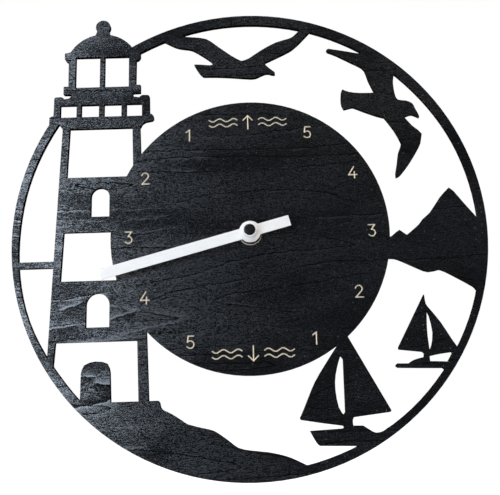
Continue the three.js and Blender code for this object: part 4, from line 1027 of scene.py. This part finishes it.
class Bench:
    """Modelling in edit mode, as by hand."""

    weld = 0.002 * MM
    sliver = 0.001 * MM
    flat_degrees = 0.5
    rounded_degrees = 50
    turned_degrees = 32

    @staticmethod
    def pick(obj: Piece) -> None:
        """Makes one object the only selected and active one.

        Args:
            obj: the object.
        """
        bpy.ops.object.select_all(action="DESELECT")
        obj.select_set(True)
        bpy.context.view_layer.objects.active = obj

    @staticmethod
    def rename(name: str) -> Piece:
        """Names the object that was just added and moves its place into its mesh.

        Args:
            name: the new name.

        Returns:
            The object.
        """
        made = bpy.context.active_object
        made.name = name
        made.data.name = name
        bpy.ops.object.transform_apply(location=True, rotation=True, scale=True)
        return made

    @classmethod
    def copied(cls, node: Piece, name: str) -> Piece:
        """Copies a solid of the frame into a clean mesh of flat faces.

        Args:
            node: the solid's object.
            name: the new piece's name.

        Returns:
            The new piece.
        """
        made = bpy.data.objects.new(name, node.data.copy())
        made.data.name = name
        made.data.materials.clear()
        bpy.context.scene.collection.objects.link(made)
        cls.pick(made)
        bpy.ops.object.mode_set(mode="EDIT")
        bpy.ops.mesh.select_all(action="SELECT")
        bpy.ops.mesh.remove_doubles(threshold=cls.weld)
        bpy.ops.mesh.customdata_custom_splitnormals_clear()
        bpy.ops.mesh.dissolve_limited(angle_limit=math.radians(cls.flat_degrees))
        bpy.ops.object.mode_set(mode="OBJECT")
        return made

    @classmethod
    def rounded(cls, obj: Piece, width: float, segments: int = 2, angle: float = 40.0,
                clamp: bool = True) -> Piece:
        """Rounds the sharp edges of a piece and shades it smooth between them.

        Args:
            obj: the piece.
            width: width of the rounding in metres.
            segments: faces across the rounding.
            angle: edges sharper than this many degrees are rounded.
            clamp: keeps roundings from running into each other.

        Returns:
            The same piece.
        """
        cls.pick(obj)
        rounding = obj.modifiers.new("rounding", "BEVEL")
        rounding.width = width
        rounding.segments = segments
        rounding.limit_method = "ANGLE"
        rounding.angle_limit = math.radians(angle)
        rounding.use_clamp_overlap = clamp
        bpy.ops.object.modifier_apply(modifier=rounding.name)
        bpy.ops.object.shade_smooth_by_angle(angle=math.radians(cls.rounded_degrees))
        levelling = obj.modifiers.new("levelling", "WEIGHTED_NORMAL")
        levelling.keep_sharp = True
        bpy.ops.object.modifier_apply(modifier=levelling.name)
        return obj

    @classmethod
    def combined(cls, obj: Piece, tool: Piece, way: Combine) -> Piece:
        """Cuts or trims a piece with another solid, which is then removed.

        Args:
            obj: the piece.
            tool: the other solid.
            way: what the other solid does.

        Returns:
            The same piece.
        """
        cls.pick(obj)
        cutter = obj.modifiers.new("combine", "BOOLEAN")
        cutter.operation = way.value
        cutter.object = tool
        cutter.solver = "EXACT"
        bpy.ops.object.modifier_apply(modifier=cutter.name)
        bpy.data.objects.remove(tool)
        return obj

    @classmethod
    def spun(cls, name: str, profile: Sequence[Point], at: Vector, axis: Vector = Vector((0, -1, 0)),
             steps: int = 64) -> Piece:
        """Turns a closed profile about an axis, as on a lathe.

        Args:
            name: the piece's name.
            profile: radius and height along the axis, in metres, round the section.
            at: a point on the axis, where the height is nought.
            axis: the direction of the axis, in the x-y plane.
            steps: faces round the piece.

        Returns:
            The new piece.
        """
        bpy.ops.object.select_all(action="DESELECT")
        bpy.ops.mesh.primitive_circle_add(vertices=len(profile), fill_type="NOTHING")
        made = cls.rename(name)
        for vertex, (radius, height) in zip(made.data.vertices, profile):
            vertex.co = at + Vector((0, 0, radius)) + axis * height
        bpy.ops.object.mode_set(mode="EDIT")
        bpy.ops.mesh.select_all(action="SELECT")
        bpy.ops.mesh.spin(steps=steps, angle=2 * math.pi, center=at, axis=axis)
        bpy.ops.mesh.select_all(action="SELECT")
        bpy.ops.mesh.remove_doubles(threshold=cls.weld)
        bpy.ops.mesh.dissolve_degenerate(threshold=cls.sliver)
        bpy.ops.mesh.normals_make_consistent(inside=False)
        bpy.ops.object.mode_set(mode="OBJECT")
        bpy.ops.object.shade_smooth_by_angle(angle=math.radians(cls.turned_degrees))
        return made

    @classmethod
    def slab(cls, name: str, outline: Sequence[Point], rear: float, front: float) -> Piece:
        """Extrudes an outline in the x-z plane along y.

        Args:
            name: the piece's name.
            outline: x and z of its corners, in metres.
            rear: y of one face.
            front: y of the other face.

        Returns:
            The new piece.
        """
        bpy.ops.object.select_all(action="DESELECT")
        bpy.ops.mesh.primitive_circle_add(vertices=len(outline), fill_type="NGON")
        made = cls.rename(name)
        for vertex, (x, z) in zip(made.data.vertices, outline):
            vertex.co = (x, rear, z)
        bpy.ops.object.mode_set(mode="EDIT")
        bpy.ops.mesh.select_all(action="SELECT")
        bpy.ops.mesh.extrude_region_move(TRANSFORM_OT_translate={"value": (0, front - rear, 0)})
        bpy.ops.mesh.select_all(action="SELECT")
        bpy.ops.mesh.normals_make_consistent(inside=False)
        bpy.ops.object.mode_set(mode="OBJECT")
        return made


def polar(radius: float, degrees: float) -> Point:
    """Gives x and z of a point by its distance and direction from the origin."""
    angle = math.radians(degrees)
    return radius * math.cos(angle), radius * math.sin(angle)


def softened(corners: Sequence[Point], radius: float, steps: int = 3) -> list[Point]:
    """Rounds every corner of a closed profile.

    Args:
        corners: the profile's corners.
        radius: how far from a corner its rounding starts, at most.
        steps: points across each rounding, less one.

    Returns:
        The rounded profile.
    """
    side_share = 0.45
    rounded = []
    for i, corner in enumerate(corners):
        here = Vector(corner)
        ends = [Vector(corners[i - 1]), Vector(corners[(i + 1) % len(corners)])]
        reach = min(radius, *(side_share * (end - here).length for end in ends))
        first, last = (here + (end - here).normalized() * reach for end in ends)
        for step in range(steps + 1):
            share = step / steps
            bent = first.lerp(here, share).lerp(here.lerp(last, share), share)
            rounded.append((bent.x, bent.y))
    return rounded


@dataclass
class Assembly:
    """A sub-assembly: it builds its pieces and dresses its solids."""

    nodes: dict[str, Piece]
    made: list[str] = field(default_factory=list)

    def settle(self, piece: Piece, body: Body, slot: Slot, finish: Finish, *replaced: str) -> Piece:
        """Gives a piece its finish, its body and the solids that it stands for.

        Args:
            piece: the piece.
            body: the body it rides on.
            slot: the record's material slot, not used.
            finish: its finish.
            replaced: names of the solids that it replaces.

        Returns:
            The same piece.
        """
        piece.data.materials.clear()
        piece.data.materials.append(finish.material())
        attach(piece, body.value)
        if replaced:
            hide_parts(*replaced)
        self.made.append(piece.name)
        return piece

    def dress(self, finish: Finish, *names: str) -> None:
        """Gives solids of the frame a finish.

        Args:
            finish: the finish.
            names: the solids' names.
        """
        for name in names:
            mesh = self.nodes[name].data
            mesh.materials.clear()
            mesh.materials.append(finish.material())
            self.made.append(name)

    def build(self) -> None:
        """Builds the pieces. Each sub-assembly has its own."""
        raise NotImplementedError


@dataclass
class Fretwork(Assembly):
    """The cut and engraved plywood plate."""

    edge: float = 0.1 * MM

    def build(self) -> None:
        """Copies the plate, eases its cut edges and stains it."""
        low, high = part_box("fretwork_plate")
        stain = StainedPlywood("stained plywood", front=low.y, thickness=high.y - low.y)
        plate = Bench.copied(self.nodes["fretwork_plate"], "fretwork_scene")
        Bench.rounded(plate, self.edge, segments=1, clamp=False)
        self.settle(plate, Body.CLOCK, Slot.PLYWOOD, stain, "fretwork_plate")


@dataclass
class TideHand(Assembly):
    """The white hand, its collet and the black plug."""

    edge: float = 0.12 * MM
    bore: float = 2.85 * MM
    flange_radius: float = 3.75 * MM
    spigot_radius: float = 3.3 * MM
    collet_radius: float = 4.2 * MM
    collet_edge: float = 0.16 * MM
    hand_gap: float = 0.02 * MM
    recess_depth: float = 1.5 * MM
    plug_radius: float = 3.5 * MM
    plug_gap: float = 0.1 * MM
    plug_edge: float = 0.25 * MM
    pin_radius: float = 1.05 * MM
    pin_length: float = 2 * MM
    dome_height: float = 0.2 * MM
    dome_angle: float = 1.2
    dome_angles: tuple[float, ...] = (1.0, 0.75, 0.5, 0.25, 0.0)

    def build(self) -> None:
        """Rounds the hand's edges and turns the collet and the plug."""
        hand = Bench.rounded(Bench.copied(self.nodes["tide_hand"], "hand_baton"), self.edge)
        self.settle(hand, Body.HAND, Slot.LACQUER, LACQUER, "tide_hand")
        self.settle(self.collet(), Body.HAND, Slot.LACQUER, LACQUER, "hand_collet")
        self.settle(self.plug(), Body.HAND, Slot.BLACK, BLACK_PLASTIC, "shaft_cap")

    def collet(self) -> Piece:
        """Turns the collet with a groove for the hand and a recess for the plug.

        Returns:
            The collet.
        """
        low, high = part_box("hand_collet")
        hand_low, hand_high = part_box("tide_hand")
        plug_low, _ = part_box("shaft_cap")
        height = high.y - low.y
        groove_low = high.y - hand_high.y - self.hand_gap
        groove_high = high.y - hand_low.y + self.hand_gap
        recess = high.y - plug_low.y - self.recess_depth
        recess_radius = self.plug_radius + self.plug_gap
        section = [
            (self.bore, 0), (self.flange_radius, 0), (self.flange_radius, groove_low),
            (self.spigot_radius, groove_low), (self.spigot_radius, groove_high),
            (self.collet_radius, groove_high), (self.collet_radius, height),
            (recess_radius, height), (recess_radius, recess), (self.bore, recess),
        ]
        return Bench.spun("hand_bush", softened(section, self.collet_edge), Vector((0, high.y, 0)))

    def plug(self) -> Piece:
        """Turns the plug with a low dome and a pin behind.

        Returns:
            The plug.
        """
        low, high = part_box("shaft_cap")
        face = high.y - low.y
        fall = self.dome_height / (1 - math.cos(self.dome_angle))
        dome = [(self.plug_radius * math.sin(angle), face - fall * (1 - math.cos(angle)))
                for angle in self.dome_angles]
        section = [
            (0, 0), (self.pin_radius, 0), (self.pin_radius, self.pin_length),
            (self.plug_radius, self.pin_length), (self.plug_radius, face - self.plug_edge), *dome,
        ]
        return Bench.spun("hand_plug", section, Vector((0, high.y, 0)))


@dataclass
class ClampStack(Assembly):
    """Gasket, washer and nut that hold the plate on the movement's bush."""

    hole: float = 4.1 * MM
    washer_radius: float = 7.2 * MM
    washer_edge: float = 0.22 * MM
    gasket_radius: float = 15 * MM
    gasket_edge: float = 0.3 * MM
    nut_flats: float = 11 * MM
    nut_edge: float = 0.05 * MM
    chamfer_degrees: float = 30
    chamfer_start: float = 0.98
    chamfer_past: float = 0.05 * MM

    def build(self) -> None:
        """Turns the gasket and the washer, and mills the nut."""
        # the washer's finish paints a shade over its flat and a highlight round its outer edge
        painted_light_plating = PaintedShadeAndEdgeHighlight("washer plating", self.washer_radius)
        washer = self.ring("dial_washer", "clamp_washer", self.washer_radius, self.washer_edge)
        self.settle(washer, Body.CLOCK, Slot.NICKEL, painted_light_plating, "dial_washer")
        gasket = self.ring("dial_gasket", "clamp_gasket", self.gasket_radius, self.gasket_edge)
        self.settle(gasket, Body.CLOCK, Slot.RUBBER, RUBBER, "dial_gasket")
        self.settle(self.nut(), Body.CLOCK, Slot.BRASS, BRASS, "dial_nut")

    def ring(self, node: str, name: str, radius: float, edge: float) -> Piece:
        """Turns a flat ring in the place of a solid.

        Args:
            node: the solid's name.
            name: the ring's name.
            radius: its outer radius.
            edge: the rounding of its edges.

        Returns:
            The ring.
        """
        low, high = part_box(node)
        height = high.y - low.y
        section = [(self.hole, 0), (radius, 0), (radius, height), (self.hole, height)]
        return Bench.spun(name, softened(section, edge), Vector((0, high.y, 0)), steps=96)

    def nut(self) -> Piece:
        """Mills a hexagon nut with chamfered corners.

        Returns:
            The nut.
        """
        low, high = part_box("dial_nut")
        height = high.y - low.y
        corner = self.nut_flats / math.sqrt(3)
        hexagon = [polar(corner, 60 * i) for i in range(6)]
        nut = Bench.slab("clamp_nut", hexagon, high.y, low.y)
        flat = self.nut_flats / 2
        land = flat * self.chamfer_start
        out = corner + self.chamfer_past
        drop = (corner - flat) * math.tan(math.radians(self.chamfer_degrees)) + self.chamfer_past
        blank = [(self.hole, 0), (land, 0), (out, drop),
                 (out, height - drop), (land, height), (self.hole, height)]
        turned = Bench.spun("nut_blank", blank, Vector((0, high.y, 0)), steps=72)
        Bench.combined(nut, turned, Combine.TRIM)
        return Bench.rounded(nut, self.nut_edge, angle=25)


@dataclass
class Movement(Assembly):
    """The movement's case, its knob, cell and contacts."""

    front_edge: float = 0.3 * MM
    rear_edge: float = 0.12 * MM
    knob_edge: float = 0.18 * MM
    strip_edge: float = 0.06 * MM
    mark_depth: float = 0.4 * MM
    mark_half_width: float = 0.45 * MM
    tool_reach: float = 0.5 * MM
    arrow_radius: float = 8.4 * MM
    arrow_starts: tuple[float, ...] = (25, 205)
    arrow_sweep: float = 105
    arrow_tip: float = 124
    arrow_barb: float = 0.9 * MM
    arrow_steps: int = 14
    sign_size: float = 3 * MM
    sign_reach: float = 24 * MM
    sign_height: float = -8.8 * MM
    panel: tuple[float, float, float, float] = (-24 * MM, -2 * MM, -2.5 * MM, 24 * MM)
    panel_depth: float = 0.15 * MM
    panel_corner: float = 1.5 * MM
    ejectors: tuple[Point, ...] = ((24 * MM, 24 * MM), (4 * MM, 24 * MM), (24 * MM, 12.5 * MM))
    ejector_radius: float = 1.4 * MM
    ejector_sides: int = 24
    cell_button: float = 1.2 * MM
    cell_edge: float = 0.2 * MM
    # the cell's section in millimetres: radius and height above the rear end, then depth below the wall and
    # height above the rear end, then depth below the wall and drop from the shoulder, then radius and drop
    # from the front end
    rear_land: tuple[Point, ...] = ((0, 0), (4.6, 0), (4.9, 0.35))
    rear_crimp: tuple[Point, ...] = ((0.9, 0.35), (0.5, 0.1), (0.12, 0.45), (0, 0.9))
    front_crimp: tuple[Point, ...] = ((0, 1.3), (0.18, 0.6), (0.7, 0.1), (1.2, 0.35))
    front_button: tuple[Point, ...] = ((3.2, 1.55), (2.75, 1.3), (2.7, 0.3), (2.4, 0), (0, 0))

    def build(self) -> None:
        """Rounds the mouldings, turns the cell and dresses the contacts."""
        front = Bench.rounded(Bench.copied(self.nodes["front_case"], "movement_front"), self.front_edge)
        self.settle(front, Body.CLOCK, Slot.CASE, CASE_PLASTIC, "front_case")
        rear = Bench.copied(self.nodes["rear_cover"], "movement_rear")
        for outline, depth in self.marks():
            tool = Bench.slab("sinking_tool", outline, self.tool_reach, -depth)
            Bench.combined(rear, tool, Combine.CUT)
        Bench.rounded(rear, self.rear_edge)
        self.settle(rear, Body.CLOCK, Slot.CASE, CASE_PLASTIC, "rear_cover")
        knob = Bench.copied(self.nodes["setting_knob"], "setting_wheel")
        Bench.rounded(knob, self.knob_edge, angle=20)
        self.settle(knob, Body.SETTING, Slot.KNOB, KNOB_PLASTIC, "setting_knob")
        low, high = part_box("aa_cell")
        sleeve = CellSleeve("cell sleeve", low.x, high.x)
        self.settle(self.cell(), Body.CLOCK, Slot.CELL, sleeve, "aa_cell")
        for name in ("positive_contact", "negative_contact"):
            strip = Bench.rounded(Bench.copied(self.nodes[name], name + "_strip"), self.strip_edge)
            self.settle(strip, Body.CLOCK, Slot.STEEL, SPRING_STEEL, name)

    def marks(self) -> Iterable[tuple[list[Point], float]]:
        """Draws the arrows, signs, plain panel and ejector marks that are sunk into the back.

        Yields:
            The outline and the depth of each mark.
        """
        low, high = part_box("setting_knob")
        middle_x, middle_z = (low.x + high.x) / 2, (low.z + high.z) / 2
        for start in self.arrow_starts:
            yield [(middle_x + x, middle_z + z) for x, z in self.arrow(start)], self.mark_depth
        long, thin = self.sign_size / 2, self.mark_half_width
        plus = [(long, thin), (thin, thin), (thin, long), (-thin, long), (-thin, thin), (-long, thin),
                (-long, -thin), (-thin, -thin), (-thin, -long), (thin, -long), (thin, -thin), (long, -thin)]
        minus = [(long, thin), (-long, thin), (-long, -thin), (long, -thin)]
        for sign, reach in ((plus, self.sign_reach), (minus, -self.sign_reach)):
            yield [(reach + x, self.sign_height + z) for x, z in sign], self.mark_depth
        left, right, bottom, top = self.panel
        corners = [(left, bottom), (right, bottom), (right, top), (left, top)]
        yield softened(corners, self.panel_corner, 5), self.panel_depth
        turn = 360 / self.ejector_sides
        ring = [polar(self.ejector_radius, turn * i) for i in range(self.ejector_sides)]
        for place_x, place_z in self.ejectors:
            yield [(place_x + x, place_z + z) for x, z in ring], self.panel_depth

    def arrow(self, start: float) -> list[Point]:
        """Draws a bent arrow about the origin.

        Args:
            start: where its tail starts, in degrees.

        Returns:
            The arrow's outline.
        """
        inner = self.arrow_radius - self.mark_half_width
        outer = self.arrow_radius + self.mark_half_width
        sweep = [start + self.arrow_sweep * i / self.arrow_steps for i in range(self.arrow_steps + 1)]
        head = [polar(outer + self.arrow_barb, sweep[-1]), polar(self.arrow_radius, start + self.arrow_tip),
                polar(inner - self.arrow_barb, sweep[-1])]
        there = [polar(outer, angle) for angle in sweep]
        back = [polar(inner, angle) for angle in reversed(sweep)]
        return there + head + back

    def cell(self) -> Piece:
        """Turns the cell with its crimped ends.

        Returns:
            The cell.
        """
        low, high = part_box("aa_cell")
        length = high.x - low.x
        radius = (high.z - low.z) / 2
        shoulder = length - self.cell_button
        section = [(r * MM, height * MM) for r, height in self.rear_land]
        section += [(radius - depth * MM, height * MM) for depth, height in self.rear_crimp]
        section += [(radius - depth * MM, shoulder - drop * MM) for depth, drop in self.front_crimp]
        section += [(r * MM, length - drop * MM) for r, drop in self.front_button]
        rear = Vector((low.x, (low.y + high.y) / 2, (low.z + high.z) / 2))
        return Bench.spun("cell_can", softened(section, self.cell_edge, 2), rear, Vector((1, 0, 0)))


@dataclass
class GearTrain(Assembly):
    """The wheels and the motor inside the case."""

    def build(self) -> None:
        """Dresses the inner solids."""
        self.dress(ACETAL, "bridge_plate", "coil_bobbin", "rotor_pinion", "intermediate_wheel",
                   "seconds_wheel", "third_wheel", "centre_wheel", "cannon_pinion", "reversing_wheel")
        self.dress(BLACK_PLASTIC, "tide_wheel")
        self.dress(SPRING_STEEL, "clutch_spring")
        self.dress(SOFT_IRON, "stator_plate", "coil_core")
        self.dress(FERRITE, "rotor_magnet")
        self.dress(CopperWinding("copper winding"), "coil_winding")
        self.dress(BoardLaminate("board laminate"), "circuit_board")
        self.dress(NICKEL, "quartz_crystal")
        self.dress(EPOXY, "driver_chip")


@dataclass(frozen=True)
class Softbox:
    """A soft lamp that points at the clock."""

    name: str
    place: Triple
    size: Point
    watts: float
    colour: Colour

    def hang(self) -> None:
        """Adds the lamp to the scene."""
        data = bpy.data.lights.new(self.name, "AREA")
        data.shape = "RECTANGLE"
        data.size, data.size_y = self.size
        data.energy = self.watts
        data.color = self.colour
        made = bpy.data.objects.new(self.name, data)
        made.location = self.place
        made.rotation_euler = (-Vector(self.place)).to_track_quat("-Z", "Y").to_euler()
        bpy.context.scene.collection.objects.link(made)


@dataclass
class Studio:
    """Floor, light and camera, in metres."""

    camera_place: Vector = Vector((0.0124, -0.43075, -0.0878))
    view_line: Vector = Vector((0.0107, 0.9824, 0.1866))
    view_up: Vector = Vector((0.0307, -0.1868, 0.9819))
    lens: float = 47.9
    shift: Point = (-0.0553, 0.0016)
    clip_start: float = 0.01
    floor_level: float = -0.42
    floor_front: float = -0.45
    floor_size: float = 6.0
    floor_paint: Colour = (0.8, 0.8, 0.8)
    floor_glow: float = 0.8
    white: Colour = (1.0, 1.0, 1.0)
    room_front: Colour = (0.02, 0.02, 0.022)
    room_rear: Colour = (0.6, 0.61, 0.63)
    lamps: tuple[Softbox, ...] = (
        Softbox("softbox left", (-0.76, -1.15, -0.09), (0.65, 2.1), 21.0, (0.74, 0.855, 1.0)),
        Softbox("softbox above", (0.3, -0.45, 1.25), (0.5, 0.5), 20.0, (1.0, 0.965, 0.91)),
        Softbox("softbox behind", (-1.4, 1.0, 0.15), (1.0, 1.0), 18.0, (1.0, 1.0, 1.0)),
    )

    def build(self) -> None:
        """Sets the camera, the floor, the world and the lamps."""
        bpy.context.scene.view_settings.view_transform = "Standard"
        self.camera()
        self.floor()
        self.world()
        for lamp in self.lamps:
            lamp.hang()

    def camera(self) -> None:
        """Puts the camera where the photograph was taken from."""
        data = bpy.data.cameras.new("camera")
        data.lens = self.lens
        data.shift_x, data.shift_y = self.shift
        data.clip_start = self.clip_start
        made = bpy.data.objects.new("camera", data)
        back = -self.view_line.normalized()
        side = self.view_up.cross(back).normalized()
        up = back.cross(side)
        turn = Matrix((side, up, back)).transposed().to_4x4()
        made.matrix_world = Matrix.Translation(self.camera_place) @ turn
        bpy.context.scene.collection.objects.link(made)
        bpy.context.scene.camera = made

    def floor(self) -> None:
        """Lays a plain pale floor that shows white and keeps the shadow."""
        bpy.ops.object.select_all(action="DESELECT")
        middle = (0, self.floor_front + self.floor_size / 2, self.floor_level)
        bpy.ops.mesh.primitive_plane_add(size=self.floor_size, location=middle)
        floor = Bench.rename("floor")
        paint = bpy.data.materials.new("pale floor")
        wiring = Wiring.fresh(paint)
        matt = wiring.add("ShaderNodeBsdfDiffuse", {"Color": self.floor_paint})
        rays = wiring.add("ShaderNodeLightPath").outputs
        seen = wiring.math("MAXIMUM", rays["Is Camera Ray"], rays["Is Transmission Ray"])
        seen = wiring.math("MAXIMUM", seen, rays["Is Glossy Ray"])
        glow = wiring.times(seen, self.floor_glow)
        white = wiring.add("ShaderNodeEmission", {"Color": self.white, "Strength": glow})
        summed = wiring.add("ShaderNodeAddShader", {0: matt.outputs[0], 1: white.outputs[0]})
        wiring.add("ShaderNodeOutputMaterial", {"Surface": summed.outputs[0]})
        floor.data.materials.append(paint)

    def world(self) -> None:
        """Lights the room softly, with a white backdrop for the camera and for reflections of the back."""
        world = bpy.data.worlds.new("studio")
        bpy.context.scene.world = world
        wiring = Wiring.fresh(world)
        rays = wiring.add("ShaderNodeLightPath").outputs
        rearward = wiring.split(wiring.add("ShaderNodeTexCoord").outputs["Generated"])[1]
        shade = wiring.mix(wiring.span(rearward, -0.55, 0.45), self.room_front, self.room_rear)
        seen = wiring.math("MAXIMUM", rays["Is Camera Ray"], rays["Is Transmission Ray"])
        mirrored = wiring.times(rays["Is Glossy Ray"], wiring.span(rearward, 0.0, 0.2))
        seen = wiring.math("MAXIMUM", seen, mirrored)
        room = wiring.add("ShaderNodeBackground", {"Color": shade})
        white = wiring.add("ShaderNodeBackground", {"Color": self.white})
        mixed = wiring.add("ShaderNodeMixShader", {0: seen, 1: room.outputs[0], 2: white.outputs[0]})
        wiring.add("ShaderNodeOutputWorld", {"Surface": mixed.outputs[0]})


def main() -> None:
    """Builds the clock's looks around its frame."""
    logging.basicConfig(level=logging.INFO, format="%(name)s: %(message)s")
    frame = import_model()
    bpy.ops.object.select_all(action="DESELECT")
    Studio().build()
    for kind in (Fretwork, TideHand, ClampStack, Movement, GearTrain):
        assembly = kind(frame["nodes"])
        assembly.build()
        LOG.info("%s: %s", kind.__name__, ", ".join(assembly.made))


if __name__ == "__main__":
    main()
